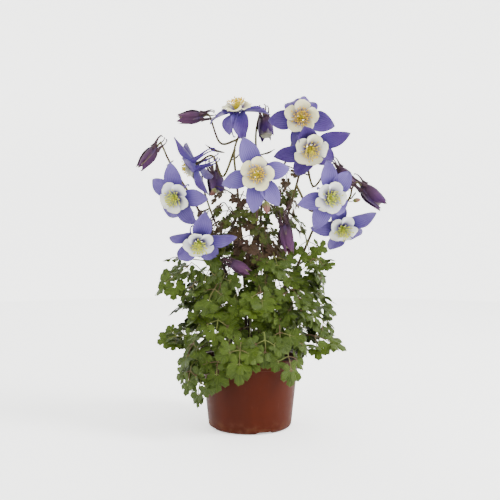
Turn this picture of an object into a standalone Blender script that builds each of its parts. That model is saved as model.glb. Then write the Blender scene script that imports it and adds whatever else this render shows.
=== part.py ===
"""A potted columbine: a nursery pot, potting soil, and a plant with leaves, stems, buds and spurred flowers.

Metres, +Z up. The origin is the middle of the pot's foot, on the surface that it stands on, and the
plant's front faces -Y. Directions are given as an azimuth, which is 0 at the front and grows towards
+X, and an elevation above level. Each whorl of sepals, each corolla with its spurs and each tuft of
stamens is one closed body, as is each leaf on its stalk and each stem with its branches.
"""

import math

import bmesh
import bpy
from mathutils import Matrix, Vector

# The pot
POT_HEIGHT = 0.0715
POT_RIM_RADIUS = 0.0522
POT_FOOT_RADIUS = 0.0415
POT_WALL = 0.0012
POT_CORNER = 0.0045
RIM_BAND = 0.009
RIM_FLARE = 0.0026
RIM_LEDGE = 0.0014
FLOOR_RISE = 0.0015
FOOT_WIDTH = 0.0025
CENTRE_PAD_RADIUS = 0.014
POT_SIDES = 36
SHARP_EDGE = 35
NOTCHES = 4
NOTCH_WIDTH = 0.019
NOTCH_HEIGHT = 0.0022
NOTCH_TURN = 22
DRAIN_HOLES = 6
DRAIN_HOLE_RADIUS = 0.003
DRAIN_HOLE_SIDES = 8

# The soil and the crown of the plant
SOIL_BELOW_RIM = 0.006
SOIL_DOME = 0.0015
CROWN_RADIUS = 0.0115
CROWN_HEIGHT = 0.0062
CROWN_SIDES = 10
GAP = 0.0003

# The flowers, at size 1
SEPAL_THICKNESS = 0.0008
SEPAL_LENGTH = 0.0350
SEPAL_WIDTH = 0.0152
PETAL_THICKNESS = 0.0008
COROLLA_RADIUS = 0.0165
PETAL_WIDTH = 0.0165
SPUR_LENGTH = 0.0260
SPUR_RADIUS = 0.00125
STAMEN_LENGTH = 0.0160
STAMEN_TUFT_RADIUS = 0.0042
DISC_RADIUS = 0.0026
CLAW_HALF_ANGLE = 17
PETAL_LIFT = 0.0013
RING_INSIDE = 0.0024
RING_OUTSIDE = 0.0044
RING_HALF_ANGLE = 20
FLOWER_NECK = 0.020
# Along a sepal: share of its length, share of the half width, rise as a share of the length
SEPAL_ROWS = (
    (0.20, 0.10, 0.004),
    (0.34, 0.66, 0.020),
    (0.52, 1.00, 0.036),
    (0.76, 0.80, 0.020),
    (1.00, 0.10, -0.020),
)
# Along a petal: share of the corolla's radius, share of the half width, rise as a share of the radius
PETAL_ROWS = ((0.45, 0.18, 0.01), (0.63, 0.78, 0.21), (0.87, 1.0, 0.42), (1.0, 0.60, 0.52))
# Down a spur: distance from the flower's axis at size 1, share of the length, share of the radius
SPUR_ROUTE = (
    (0.0059, 0.12, 1.15),
    (0.0065, 0.40, 0.85),
    (0.0072, 0.74, 0.62),
    (0.0070, 0.95, 0.50),
    (0.0054, 1.00, 0.60),
)
# Up the tuft of stamens: share of its radius, share of its length
TUFT_PROFILE = ((0.36, 0.30), (0.85, 0.62), (1.0, 0.86))
TUFT_FOOT_RADIUS = 0.0014
TUFT_SIDES = 6

# The buds, at size 1
BUD_LENGTH = 0.0250
BUD_RADIUS = 0.0050
BUD_SPUR_LENGTH = 0.0120
BUD_SPUR_RADIUS = 0.0009
BUD_NECK = 0.006
BUD_TURN = 36
BUD_TIP = 0.14
BUD_TIP_OPENS = 1.1
BUD_SWELLS = 0.45
# Along a bud, from its base: share of its widest radius, share of its length
BUD_PROFILE = ((0.30, 0.0), (0.80, 0.14), (1.0, 0.42))
BUD_SHOULDER = (0.74, 0.55)
# Down a bud's spur: share of the bud's radius, share of the spur's length, share of its radius
BUD_SPUR_ROUTE = ((0.72, 0.30, 1.2), (0.66, 0.65, 0.9), (0.55, 1.0, 0.6))

# The stems and the leaves
STEM_RADIUS = 0.00125
PEDICEL_RADIUS = 0.0007
STEM_FOOT_RING = 0.0070
NODE_HALF = 0.0008
NODE_CLEAR = 0.03
JUST_PAST = 1e-6
BRANCH_START = 0.0014
BRANCH_SWELLS = 1.25
STEM_SIDES = 6
CURVE_STEPS = 3
LEAF_THICKNESS = 0.0010
PETIOLE_WIDTH = 0.0017
LEAFLET_RADIUS = 0.0160
LEAFLET_STALK = 0.0110
LEAFLET_POINTS = 15
LEAFLET_OPEN = 160
LOBE_SPACING = 100
LEAF_NECK = 0.016
LEAF_FOOT_OUT = 0.0035
STALK_SEAT = 0.0004
LEAF_DROOP = 0.0055
SIDE_LEAFLET_TURN = 68
SIDE_LEAFLET_SIZE = 0.82
LEAFLET_MEAN = 0.82
LEAFLET_LOBE = 0.18
# A basal leaf's stalk first passes this share of the way out, at these shares of its two ends' heights
STALK_OUT = 0.30
STALK_TOP_SHARE = 0.62
STALK_FOOT_SHARE = 0.42
STALK_SAG = 0.15
# A stem leaf's stalk first passes this share of the way, this far above the straight line
STEM_STALK_SHARE = 0.35
STEM_STALK_ARCH = 0.002

# name, place of the receptacle, azimuth and elevation that the flower faces, turn of its first sepal
# clockwise from the top, degrees that the sepals curl back by their tips, size
FLOWERS = (
    ("flower_1", (-0.0692, -0.0469, 0.2282), -18, -18, 2, 8, 0.96),
    ("flower_2", (-0.0485, -0.0487, 0.1865), 5, -38, 10, 8, 0.96),
    ("flower_3", (-0.0123, 0.0012, 0.3155), -12, 62, 0, 80, 1.00),
    ("flower_4", (0.0066, -0.0610, 0.2478), -3, -2, -28, 0, 1.00),
    ("flower_5", (0.0502, -0.0130, 0.3080), 0, -6, 38, 50, 1.08),
    ("flower_6", (0.0564, -0.0421, 0.2750), 6, -28, 46, 0, 1.06),
    ("flower_7", (0.0754, -0.0434, 0.2284), 12, -12, -20, 0, 0.98),
    ("flower_8", (0.0909, -0.0120, 0.2005), 8, -35, 52, 8, 0.96),
    ("flower_9", (-0.0557, 0.0169, 0.2648), -106, -24, 30, 12, 0.98),
)

# name, place of the base, azimuth and elevation that the bud points, size, how far its tip is open
BUDS = (
    ("bud_1", (-0.0940, 0.0000, 0.2805), -95, -50, 1.15, 0.15),
    ("bud_2", (-0.0485, 0.0280, 0.3160), -100, -4, 1.15, 0.35),
    ("bud_3", (0.0146, 0.0300, 0.3165), 20, -72, 1.05, 0.80),
    ("bud_4", (0.0903, 0.0220, 0.2615), 85, -50, 1.10, 0.60),
    ("bud_5", (0.1125, 0.0020, 0.2415), 95, -40, 1.25, 0.45),
    ("bud_6", (0.0329, -0.0300, 0.2030), 32, -72, 1.20, 0.20),
    ("bud_7", (-0.0194, -0.0300, 0.1658), 80, -30, 0.95, 0.30),
    ("bud_8", (-0.0400, 0.0560, 0.2620), 60, -75, 1.15, 0.70),
)

# name, foot's azimuth on the crown, points that the main axis passes, what it ends in, and its branches:
# share of the main axis where each leaves, points that it passes, what it ends in
STEMS = (
    (
        "flower_stem_1",
        -90,
        ((-0.012, -0.004, 0.125), (-0.036, -0.008, 0.180), (-0.054, -0.006, 0.222), (-0.080, -0.001, 0.264)),
        "bud_1",
        (
            (0.40, ((-0.040, -0.026, 0.182),), "flower_2"),
            (0.62, ((-0.058, -0.024, 0.222),), "flower_1"),
        ),
    ),
    (
        "flower_stem_2",
        -150,
        ((-0.006, 0.006, 0.150), (-0.012, 0.004, 0.230), (-0.016, 0.003, 0.275)),
        "flower_3",
        (
            (0.36, ((-0.028, 0.036, 0.190), (-0.050, 0.064, 0.240), (-0.051, 0.063, 0.264)), "bud_8"),
            (0.62, ((-0.028, 0.016, 0.252),), "flower_9"),
            (0.71, ((-0.031, 0.026, 0.288),), "bud_2"),
        ),
    ),
    (
        "flower_stem_3",
        -30,
        ((0.003, -0.010, 0.150), (0.006, -0.020, 0.200), (0.008, -0.036, 0.236)),
        "flower_4",
        ((0.24, ((-0.021, -0.017, 0.162),), "bud_7"),),
    ),
    (
        "flower_stem_4",
        150,
        ((0.006, 0.010, 0.150), (0.012, 0.020, 0.230), (0.006, 0.032, 0.290), (0.010, 0.0395, 0.319)),
        "bud_3",
        ((0.46, ((0.030, 0.012, 0.258), (0.045, 0.016, 0.292)), "flower_5"),),
    ),
    (
        "flower_stem_5",
        90,
        ((0.016, -0.004, 0.140), (0.034, -0.010, 0.200), (0.048, -0.018, 0.250)),
        "flower_6",
        (
            (0.50, ((0.028, -0.022, 0.205),), "bud_6"),
            (0.56, ((0.060, -0.022, 0.215),), "flower_7"),
            (0.74, ((0.064, 0.010, 0.242), (0.078, 0.0225, 0.258)), "bud_4"),
        ),
    ),
    (
        "flower_stem_6",
        30,
        ((0.020, -0.014, 0.115), (0.047, -0.014, 0.162), (0.070, 0.006, 0.208)),
        "flower_8",
        ((0.56, ((0.084, 0.017, 0.206), (0.100, 0.005, 0.228), (0.1032, 0.0025, 0.2395)), "bud_5"),),
    ),
)

# name, azimuth of the foot beside the crown, place where the leaflets part, the way the middle leaflet
# points as azimuth and elevation, bank to the right, size
BASAL_LEAVES = (
    ("basal_leaf_01", -150, (-0.034, 0.060, 0.080), -150, -48, 0, 0.95),
    ("basal_leaf_02", -102, (-0.066, -0.004, 0.092), -95, 4, -35, 0.85),
    ("basal_leaf_03", -48, (-0.049, -0.042, 0.078), -52, -66, 0, 0.95),
    ("basal_leaf_04", -12, (-0.009, -0.067, 0.086), -8, -58, 0, 0.95),
    ("basal_leaf_05", 26, (0.036, -0.053, 0.078), 34, -66, 0, 0.95),
    ("basal_leaf_06", 72, (0.064, -0.014, 0.092), 80, -14, 38, 0.95),
    ("basal_leaf_07", 132, (0.046, 0.046, 0.082), 132, -45, 0, 0.95),
    ("basal_leaf_08", -86, (-0.074, -0.014, 0.150), -88, -18, -40, 0.95),
    ("basal_leaf_09", -62, (-0.040, -0.036, 0.122), -48, -28, -8, 1.00),
    ("basal_leaf_10", 0, (0.004, -0.046, 0.130), -4, -34, 0, 1.00),
    ("basal_leaf_11", 48, (0.042, -0.034, 0.126), 44, -22, 10, 1.00),
    ("basal_leaf_12", 92, (0.062, 0.008, 0.128), 90, -20, 25, 1.00),
    ("basal_leaf_13", 176, (0.004, 0.050, 0.124), 176, -28, 0, 1.05),
)

# name, the stem and the share of it where the leaf grows, place where the leaflets part, azimuth and
# elevation of the middle leaflet, bank, size
STEM_LEAVES = (
    ("stem_leaf_1", "flower_stem_1", 0.34, (-0.046, 0.012, 0.178), -70, -8, -20, 0.62),
    ("stem_leaf_2", "flower_stem_4", 0.52, (0.026, 0.040, 0.262), 120, 10, 0, 0.52),
    ("stem_leaf_3", "flower_stem_6", 0.42, (0.064, -0.042, 0.168), 30, -20, 20, 0.70),
)


def remove_everything():
    for thing in list(bpy.data.objects):
        bpy.data.objects.remove(thing, do_unlink=True)


def make_material(name, colour, roughness):
    made = bpy.data.materials.new(name)
    made.use_nodes = True
    shader = made.node_tree.nodes["Principled BSDF"]
    shader.inputs["Base Color"].default_value = (*colour, 1)
    shader.inputs["Roughness"].default_value = roughness
    shader.inputs["Metallic"].default_value = 0
    return made


def object_from(sheet, name, material):
    """A linked object that holds the bmesh, with its own copy of the material."""
    mesh = bpy.data.meshes.new(name)
    sheet.to_mesh(mesh)
    sheet.free()
    made = bpy.data.objects.new(name, mesh)
    own = material.copy()
    own.name = name
    mesh.materials.append(own)
    bpy.context.scene.collection.objects.link(made)
    return made


def face_outwards(sheet):
    bmesh.ops.recalc_face_normals(sheet, faces=sheet.faces[:])
    if sheet.calc_volume(signed=True) < 0:
        bmesh.ops.reverse_faces(sheet, faces=sheet.faces[:])


def thicken(thing, thickness):
    """Turns an open sheet into a closed one, half of the thickness on each side."""
    solidify = thing.modifiers.new("thickness", "SOLIDIFY")
    solidify.thickness = thickness
    solidify.offset = 0
    return solidify


def direction(azimuth, elevation):
    a, e = math.radians(azimuth), math.radians(elevation)
    return Vector((math.sin(a) * math.cos(e), -math.cos(a) * math.cos(e), math.sin(e)))


def pose(place, azimuth, elevation, turn=0.0):
    """A frame at place whose Z faces the given way and whose X is turned clockwise from the top."""
    facing = direction(azimuth, elevation)
    top = (Vector((0, 0, 1)) - facing * facing.z).normalized()
    frame = Matrix((top, facing.cross(top), facing)).transposed().to_4x4()
    return Matrix.Translation(place) @ frame @ Matrix.Rotation(math.radians(-turn), 4, "Z")


def on_circle(radius, degrees, height=0.0):
    angle = math.radians(degrees)
    return Vector((radius * math.cos(angle), radius * math.sin(angle), height))


def smooth_curve(knots, steps):
    """Points on a Catmull-Rom curve through the knots, with this many steps between two of them."""
    padded = [2 * knots[0] - knots[1], *knots, 2 * knots[-1] - knots[-2]]
    points = [knots[0]]
    for i in range(1, len(padded) - 2):
        a, b, c, d = padded[i - 1 : i + 3]
        for step in range(1, steps + 1):
            t = step / steps
            near = 2 * b + (c - a) * t + (2 * a - 5 * b + 4 * c - d) * t**2
            points.append((near + (3 * b - a - 3 * c + d) * t**3) / 2)
    return points


def carry(sheet, face, centres, radii):
    """Extrudes a face along the centres, as an even tube of these radii. Returns the rings of side faces."""
    rings = []
    middle = face.calc_center_median()
    arm = face.verts[0].co - middle
    for i, (centre, radius) in enumerate(zip(centres, radii)):
        ahead = centres[min(i + 1, len(centres) - 1)]
        behind = centres[i - 1] if i else middle
        along = (ahead - behind).normalized()
        arm = (arm - along * arm.dot(along)).normalized()
        face = bmesh.ops.extrude_discrete_faces(sheet, faces=[face])["faces"][0]
        for k, corner in enumerate(face.verts):
            turned = Matrix.Rotation(2 * math.pi * k / len(face.verts), 3, along)
            corner.co = centre + turned @ arm * radius
        rings.append([side for edge in face.edges for side in edge.link_faces if side is not face])
    return rings


def revolve(sheet, profile, sides):
    """A closed body turned about Z. The profile is (radius, height) pairs, from one pole to the other."""
    rings = []
    for radius, height in profile:
        if radius == 0:
            rings.append([sheet.verts.new((0, 0, height))])
        else:
            rings.append([sheet.verts.new(on_circle(radius, 360 * i / sides, height)) for i in range(sides)])
    for lower, upper in zip(rings, rings[1:]):
        for i in range(sides):
            j = (i + 1) % sides
            corners = [lower[i % len(lower)], lower[j % len(lower)]]
            corners += [upper[j % len(upper)], upper[i % len(upper)]]
            sheet.faces.new(list(dict.fromkeys(corners)))
    bmesh.ops.recalc_face_normals(sheet, faces=sheet.faces[:])


def outside_radius(height):
    """The pot's outer radius below its rim band, straight from the foot to the band's ledge."""
    under_band = POT_RIM_RADIUS - RIM_FLARE - RIM_LEDGE
    share = height / (POT_HEIGHT - RIM_BAND)
    return POT_FOOT_RADIUS + (under_band - POT_FOOT_RADIUS) * share


def inside_radius(height):
    """The pot's inner radius, which keeps the wall's thickness up to the top of the rim."""
    return outside_radius(height) - POT_WALL


def cut(thing, cutter, name):
    cutter.hide_render = True
    cutter.display_type = "WIRE"
    boolean = thing.modifiers.new(name, "BOOLEAN")
    boolean.object = cutter
    boolean.operation = "DIFFERENCE"
    boolean.solver = "EXACT"


def make_cutter(name, build, places):
    """One hidden object that holds a closed shape at each of the places."""
    sheet = bmesh.new()
    for place in places:
        before = set(sheet.verts)
        build(sheet)
        bmesh.ops.transform(sheet, matrix=place, verts=[v for v in sheet.verts if v not in before])
    mesh = bpy.data.meshes.new(name)
    sheet.to_mesh(mesh)
    sheet.free()
    made = bpy.data.objects.new(name, mesh)
    bpy.context.scene.collection.objects.link(made)
    return made


def make_pot(material):
    """A tapered wall with a rolled band at the rim, a raised floor, a foot ring and a pad in the middle."""
    floor_top = FLOOR_RISE + POT_WALL
    corner = [
        (
            outside_radius(POT_CORNER) - POT_CORNER * (1 - math.sin(math.radians(step))),
            POT_CORNER * (1 - math.cos(math.radians(step))),
        )
        for step in (0, 30, 60, 90)
    ]
    foot_inside = corner[0][0] - FOOT_WIDTH
    band_foot = POT_HEIGHT - RIM_BAND
    band_radius = POT_RIM_RADIUS - RIM_FLARE
    profile = [
        (0, 0),
        (CENTRE_PAD_RADIUS, 0),
        (CENTRE_PAD_RADIUS + FLOOR_RISE, FLOOR_RISE),
        (foot_inside - FLOOR_RISE, FLOOR_RISE),
        (foot_inside, 0),
        *corner,
        (outside_radius(band_foot), band_foot),
        (band_radius, band_foot + RIM_LEDGE / 2),
        (POT_RIM_RADIUS, POT_HEIGHT - POT_WALL),
        (POT_RIM_RADIUS - POT_WALL, POT_HEIGHT),
        (inside_radius(POT_HEIGHT), POT_HEIGHT - POT_WALL),
        (inside_radius(POT_CORNER + floor_top), POT_CORNER + floor_top),
        (inside_radius(0) - POT_CORNER / 2, floor_top),
        (0, floor_top),
    ]
    sheet = bmesh.new()
    revolve(sheet, profile, POT_SIDES)
    pot = object_from(sheet, "pot", material)

    def notch_shape(cutter):
        bmesh.ops.create_cube(cutter, size=1)

    def hole_shape(cutter):
        bmesh.ops.create_cone(cutter, cap_ends=True, segments=DRAIN_HOLE_SIDES, radius1=1, radius2=1, depth=1)

    reach = 2 * FOOT_WIDTH + 2 * POT_CORNER
    notch_size = Matrix.Diagonal((NOTCH_WIDTH, reach, 2 * NOTCH_HEIGHT, 1))
    notch_out = Matrix.Translation((0, -(POT_FOOT_RADIUS - FOOT_WIDTH), 0))
    turns = [NOTCH_TURN + 360 * i / NOTCHES for i in range(NOTCHES)]
    notches = [Matrix.Rotation(math.radians(turn), 4, "Z") @ notch_out @ notch_size for turn in turns]
    hole_size = Matrix.Diagonal((DRAIN_HOLE_RADIUS, DRAIN_HOLE_RADIUS, 4 * floor_top, 1))
    hole_out = Matrix.Translation((0, -(CENTRE_PAD_RADIUS + foot_inside) / 2, 0))
    spins = [360 * i / DRAIN_HOLES for i in range(DRAIN_HOLES)]
    holes = [Matrix.Rotation(math.radians(spin), 4, "Z") @ hole_out @ hole_size for spin in spins]
    cut(pot, make_cutter("notch_cutter", notch_shape, notches), "notches")
    cut(pot, make_cutter("drain_hole_cutter", hole_shape, holes), "drain holes")
    pot.data.shade_smooth()
    pot.data.set_sharp_from_angle(angle=math.radians(SHARP_EDGE))


def soil_height(radius):
    """The soil's surface: a shallow dome that meets the wall below the rim."""
    edge = POT_HEIGHT - SOIL_BELOW_RIM
    share = radius / inside_radius(edge)
    return edge + SOIL_DOME * (1 - share**2)


def make_soil(material):
    edge = POT_HEIGHT - SOIL_BELOW_RIM
    bottom = FLOOR_RISE + POT_WALL + GAP
    shoulder = bottom + POT_CORNER
    outer = inside_radius(edge) - GAP
    profile = [
        (0, bottom),
        (inside_radius(0) - POT_CORNER / 2 - 2 * GAP, bottom),
        (inside_radius(shoulder) - 2 * GAP, shoulder),
        (outer, edge),
        (outer / 2, soil_height(outer / 2)),
        (0, soil_height(0)),
    ]
    sheet = bmesh.new()
    revolve(sheet, profile, POT_SIDES)
    object_from(sheet, "potting_soil", material).data.shade_smooth()


def crown_top():
    return soil_height(0) + GAP + CROWN_HEIGHT


def make_crown(material):
    foot = soil_height(0) + GAP
    profile = [
        (0, foot),
        (CROWN_RADIUS, foot),
        (CROWN_RADIUS, foot + CROWN_HEIGHT / 2),
        (STEM_FOOT_RING + 2 * STEM_RADIUS, crown_top()),
        (0, crown_top()),
    ]
    sheet = bmesh.new()
    revolve(sheet, profile, CROWN_SIDES)
    object_from(sheet, "root_crown", material).data.shade_smooth()


def curled(reach, bend):
    """Where an arc that turns back by bend degrees over a length of 1 has come to: out, and down."""
    if bend == 0:
        return reach, 0.0
    turned = math.radians(bend)
    return math.sin(turned * reach) / turned, (1 - math.cos(turned * reach)) / turned


def make_sepals(name, frame, bend, size, material):
    """Five pointed sepals on narrow claws around a small disc."""
    sheet = bmesh.new()
    length = SEPAL_LENGTH * size
    half = SEPAL_WIDTH * size / 2
    hub = []
    ports = []
    for k in range(5):
        turns = [72 * k + side * CLAW_HALF_ANGLE for side in (-1, 1)]
        pair = [sheet.verts.new(on_circle(DISC_RADIUS * size, turn)) for turn in turns]
        hub += pair
        ports.append(pair)
    sheet.faces.new(hub)
    for k, (left, right) in enumerate(ports):
        out = on_circle(1, 72 * k)
        across = on_circle(1, 72 * k + 90)
        for reach, width, lift in SEPAL_ROWS:
            away, down = curled(reach, bend)
            middle = out * away * length + Vector((0, 0, (lift - down) * length))
            row = [sheet.verts.new(middle + across * side * width * half) for side in (-1, 1)]
            sheet.faces.new((left, row[0], row[1], right))
            left, right = row
    made = object_from(sheet, name, material)
    made.matrix_world = frame
    thicken(made, SEPAL_THICKNESS * size)


def make_petals(name, frame, size, material):
    """Five cupped petals on one ring, each with a tapering spur that runs back between two sepals."""
    sheet = bmesh.new()
    lift = Vector((0, 0, PETAL_LIFT * size))
    reach = COROLLA_RADIUS * size
    half = PETAL_WIDTH * size / 2
    ring = [72 * k + 36 + side * RING_HALF_ANGLE for k in range(5) for side in (-1, 1)]
    inside = [sheet.verts.new(on_circle(RING_INSIDE * size, turn) + lift) for turn in ring]
    outside = [sheet.verts.new(on_circle(RING_OUTSIDE * size, turn) + lift) for turn in ring]
    for i in range(10):
        j = (i + 1) % 10
        sheet.faces.new((inside[i], outside[i], outside[j], inside[j]))
    throats = []
    for k in range(5):
        out = on_circle(1, 72 * k + 36)
        across = on_circle(1, 72 * k + 126)
        left, right = outside[2 * k], outside[2 * k + 1]
        for share, width, rise in PETAL_ROWS:
            middle = out * share * reach + lift + Vector((0, 0, rise * reach))
            row = [sheet.verts.new(middle + across * side * width * half) for side in (-1, 1)]
            face = sheet.faces.new((left, row[0], row[1], right))
            if len(throats) == k:
                throats.append(face.calc_center_median())
            left, right = row
    sheet.normal_update()
    bmesh.ops.solidify(sheet, geom=sheet.faces[:], thickness=PETAL_THICKNESS * size)
    bmesh.ops.recalc_face_normals(sheet, faces=sheet.faces[:])
    for k, throat in enumerate(throats):
        backs = [face for face in sheet.faces if face.normal.z < -0.7]
        back = min(backs, key=lambda face: (face.calc_center_median() - throat).length)
        out = on_circle(size, 72 * k + 36)
        route = [out * away + Vector((0, 0, -SPUR_LENGTH * size * down)) for away, down, _ in SPUR_ROUTE]
        carry(sheet, back, route, [SPUR_RADIUS * size * wide for _, _, wide in SPUR_ROUTE])
    face_outwards(sheet)
    object_from(sheet, name, material).matrix_world = frame


def make_stamens(name, frame, size, material):
    """The tuft of stamens, which stands on the disc of sepals and widens above the petals' ring."""
    base = (SEPAL_THICKNESS / 2 + GAP * 1.2) * size
    radius = STAMEN_TUFT_RADIUS * size
    top = STAMEN_LENGTH * size
    rings = [(radius * wide, top * high) for wide, high in TUFT_PROFILE]
    profile = [(0, base), (TUFT_FOOT_RADIUS * size, base), *rings, (0, top)]
    sheet = bmesh.new()
    revolve(sheet, profile, TUFT_SIDES)
    made = object_from(sheet, name, material)
    made.matrix_world = frame
    made.data.shade_smooth()


def make_bud(name, place, azimuth, elevation, size, opening, material):
    """A closed or half-open bud: five folded sepals as one pointed body, with five short spurs behind."""
    length = BUD_LENGTH * size
    wide = BUD_RADIUS * size * (1 + BUD_SWELLS * opening)
    tip = BUD_RADIUS * size * (BUD_TIP + BUD_TIP_OPENS * opening)
    upper, blend = BUD_SHOULDER
    rings = [(wide * share, length * along) for share, along in BUD_PROFILE]
    rings += [(blend * wide + (1 - blend) * tip, upper * length), (tip, length)]
    sheet = bmesh.new()
    revolve(sheet, [(0, 0), *rings, (0, length)], 5)
    for k in range(5):
        turn = 72 * k + 36
        low = on_circle((rings[0][0] + rings[1][0]) / 2, turn, rings[1][1] / 2)
        base = min(sheet.faces, key=lambda face: (face.calc_center_median() - low).length)
        reach = BUD_SPUR_LENGTH * size
        route = [on_circle(wide * away, turn, -reach * down) for away, down, _ in BUD_SPUR_ROUTE]
        carry(sheet, base, route, [BUD_SPUR_RADIUS * size * girth for _, _, girth in BUD_SPUR_ROUTE])
    face_outwards(sheet)
    made = object_from(sheet, name, material)
    made.matrix_world = pose(place, azimuth, elevation, BUD_TURN)
    made.data.shade_smooth()


def ends_of(target):
    """The last two points of a stalk that carries this flower or bud, behind its base and at it."""
    for name, place, azimuth, elevation, _, _, size in FLOWERS:
        if name == target:
            facing = direction(azimuth, elevation)
            at = Vector(place) - facing * (SEPAL_THICKNESS / 2 + GAP) * size
            return [at - facing * FLOWER_NECK * size, at]
    for name, place, azimuth, elevation, size, _ in BUDS:
        if name == target:
            facing = direction(azimuth, elevation)
            at = Vector(place) - facing * GAP
            return [at - facing * BUD_NECK * size, at]
    raise ValueError(f"no flower or bud is named {target}")


def stem_route(foot_turn, via, target):
    """The main axis of a stem as closely spaced points, from the crown to what it carries."""
    foot = direction(foot_turn, 0) * STEM_FOOT_RING + Vector((0, 0, crown_top() + 2 * GAP))
    knots = [foot, *(Vector(point) for point in via), *ends_of(target)]
    return smooth_curve(knots, CURVE_STEPS)


def point_at(route, share):
    """A point on a route and the way it runs there, at a share of its steps."""
    place = share * (len(route) - 1)
    i = min(int(place), len(route) - 2)
    return route[i].lerp(route[i + 1], place - i), (route[i + 1] - route[i]).normalized()


def taper(route, start, end):
    return [start + (end - start) * i / (len(route) - 1) for i in range(len(route))]


def make_stem(name, foot_turn, via, target, branches, material):
    """A tube whose branches are drawn out of its own side faces, so that all is one body."""
    sheet = bmesh.new()
    route = stem_route(foot_turn, via, target)
    radii = taper(route, STEM_RADIUS, PEDICEL_RADIUS)
    stops = []
    for share, _, _ in branches:
        middle, along = point_at(route, share)
        radius = STEM_RADIUS + (PEDICEL_RADIUS - STEM_RADIUS) * share
        stops.append((share, middle - along * NODE_HALF, radius))
        stops.append((share + JUST_PAST, middle + along * NODE_HALF, radius))
    steps = [(i / (len(route) - 1), point, radii[i]) for i, point in enumerate(route)]
    clear = [step for step in steps if all(abs(step[0] - stop[0]) > NODE_CLEAR for stop in stops)]
    track = sorted(clear + stops, key=lambda step: step[0])
    foot, radius = track[0][1], track[0][2]
    ahead = (track[1][1] - foot).normalized()
    upright = ahead.to_track_quat("Z", "Y").to_matrix().to_4x4()
    where = Matrix.Translation(foot + ahead * radius / 2) @ upright
    bmesh.ops.create_cone(
        sheet, cap_ends=True, segments=STEM_SIDES, radius1=radius, radius2=radius, depth=radius, matrix=where
    )
    start = max(sheet.faces, key=lambda face: (face.calc_center_median() - foot).dot(ahead))
    rings = carry(sheet, start, [step[1] for step in track[1:]], [step[2] for step in track[1:]])
    for share, via_points, carried in branches:
        at = next(i for i, step in enumerate(track) if step[0] == share + JUST_PAST)
        middle = (track[at][1] + track[at - 1][1]) / 2
        knots = [middle, *(Vector(point) for point in via_points), *ends_of(carried)]
        path = smooth_curve(knots, CURVE_STEPS)
        leaving = (path[1] - middle).normalized()

        def leans(face):
            """How far a side face looks the way that the branch leaves."""
            return (face.calc_center_median() - middle).normalized().dot(leaving)

        side = max(rings[at - 1], key=leans)
        root = side.calc_center_median()
        side.normal_update()
        near = root + (leaving + 2 * side.normal).normalized() * BRANCH_START
        clear_of = (near - middle).length + BRANCH_START
        far = [point for point in path[1:] if (point - middle).length > clear_of]
        run = [near, *far]
        carry(sheet, side, run, taper(run, PEDICEL_RADIUS * BRANCH_SWELLS, PEDICEL_RADIUS))
    face_outwards(sheet)
    made = object_from(sheet, name, material)
    made.data.shade_smooth()


def leaflet_outline():
    """Points around a leaflet's middle, as shares of its radius: a broad middle lobe and two side lobes."""
    turns = [-LEAFLET_OPEN + 2 * LEAFLET_OPEN * i / (LEAFLET_POINTS - 1) for i in range(LEAFLET_POINTS)]
    waves = [math.cos(math.radians(turn * 360 / LOBE_SPACING)) for turn in turns]
    return [(turn, LEAFLET_MEAN + LEAFLET_LOBE * wave) for turn, wave in zip(turns, waves)]


def make_leaf(name, foot, start, hub, azimuth, elevation, bank, size, material):
    """A stalk that parts into three, each with a lobed leaflet, as one sheet that is then thickened."""
    sheet = bmesh.new()
    ahead = direction(azimuth, elevation)
    level = Vector((0, 0, 1)) - ahead * ahead.z
    upward = Matrix.Rotation(math.radians(bank), 3, ahead) @ level.normalized()
    aside = ahead.cross(upward)
    hub = Vector(hub)
    half = PETIOLE_WIDTH / 2

    def at(along, across):
        """A place on the blade, which falls away from the point where the leaflets part."""
        away = math.hypot(along, across) / (2 * LEAFLET_RADIUS + LEAFLET_STALK)
        return hub + ahead * along + aside * across - upward * LEAF_DROOP * size * away**2

    def strip(left, right, points):
        for pair in points:
            row = [sheet.verts.new(point) for point in pair]
            sheet.faces.new((left, row[0], row[1], right))
            left, right = row
        return left, right

    neck = hub - (ahead * size + upward * STALK_SAG) * LEAF_NECK
    knots = [Vector(foot), start, neck, at(-half, 0)]
    path = smooth_curve(knots, CURVE_STEPS)
    rows = []
    for i, point in enumerate(path):
        run = (path[min(i + 1, len(path) - 1)] - path[max(i - 1, 0)]).normalized()
        over = (aside - run * aside.dot(run)).normalized()
        rows.append((point - over * half, point + over * half))
    left, right = [sheet.verts.new(point) for point in rows[0]]
    left, right = strip(left, right, rows[1:])
    far_left, far_right = [sheet.verts.new(at(half, side * half)) for side in (-1, 1)]
    sheet.faces.new((left, far_left, far_right, right))
    ports = (
        (-SIDE_LEAFLET_TURN, left, far_left, SIDE_LEAFLET_SIZE),
        (0, far_left, far_right, 1.0),
        (SIDE_LEAFLET_TURN, far_right, right, SIDE_LEAFLET_SIZE),
    )
    for turn, port_left, port_right, share in ports:
        angle = math.radians(turn)
        out = Vector((math.cos(angle), math.sin(angle)))
        across = Vector((-out.y, out.x))
        stalk = LEAFLET_STALK * size * share
        radius = LEAFLET_RADIUS * size * share
        stops = []
        for reach in (0.55 * stalk, stalk):
            pair = [out * reach + across * side * half * 0.8 for side in (-1, 1)]
            stops.append([at(*point) for point in pair])
        root_left, root_right = strip(port_left, port_right, stops)
        centre = out * (stalk + radius)
        middle = sheet.verts.new(at(*centre))
        margin = []
        for degrees, reach in leaflet_outline():
            spin = math.radians(degrees)
            point = centre + (out * math.cos(spin) + across * math.sin(spin)) * radius * reach
            margin.append(sheet.verts.new(at(*point)))
        rim = [root_left, *margin, root_right]
        for one, other in zip(rim, rim[1:]):
            sheet.faces.new((middle, one, other))
        sheet.faces.new((middle, root_right, root_left))
    bmesh.ops.recalc_face_normals(sheet, faces=sheet.faces[:])
    thicken(object_from(sheet, name, material), LEAF_THICKNESS)


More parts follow.
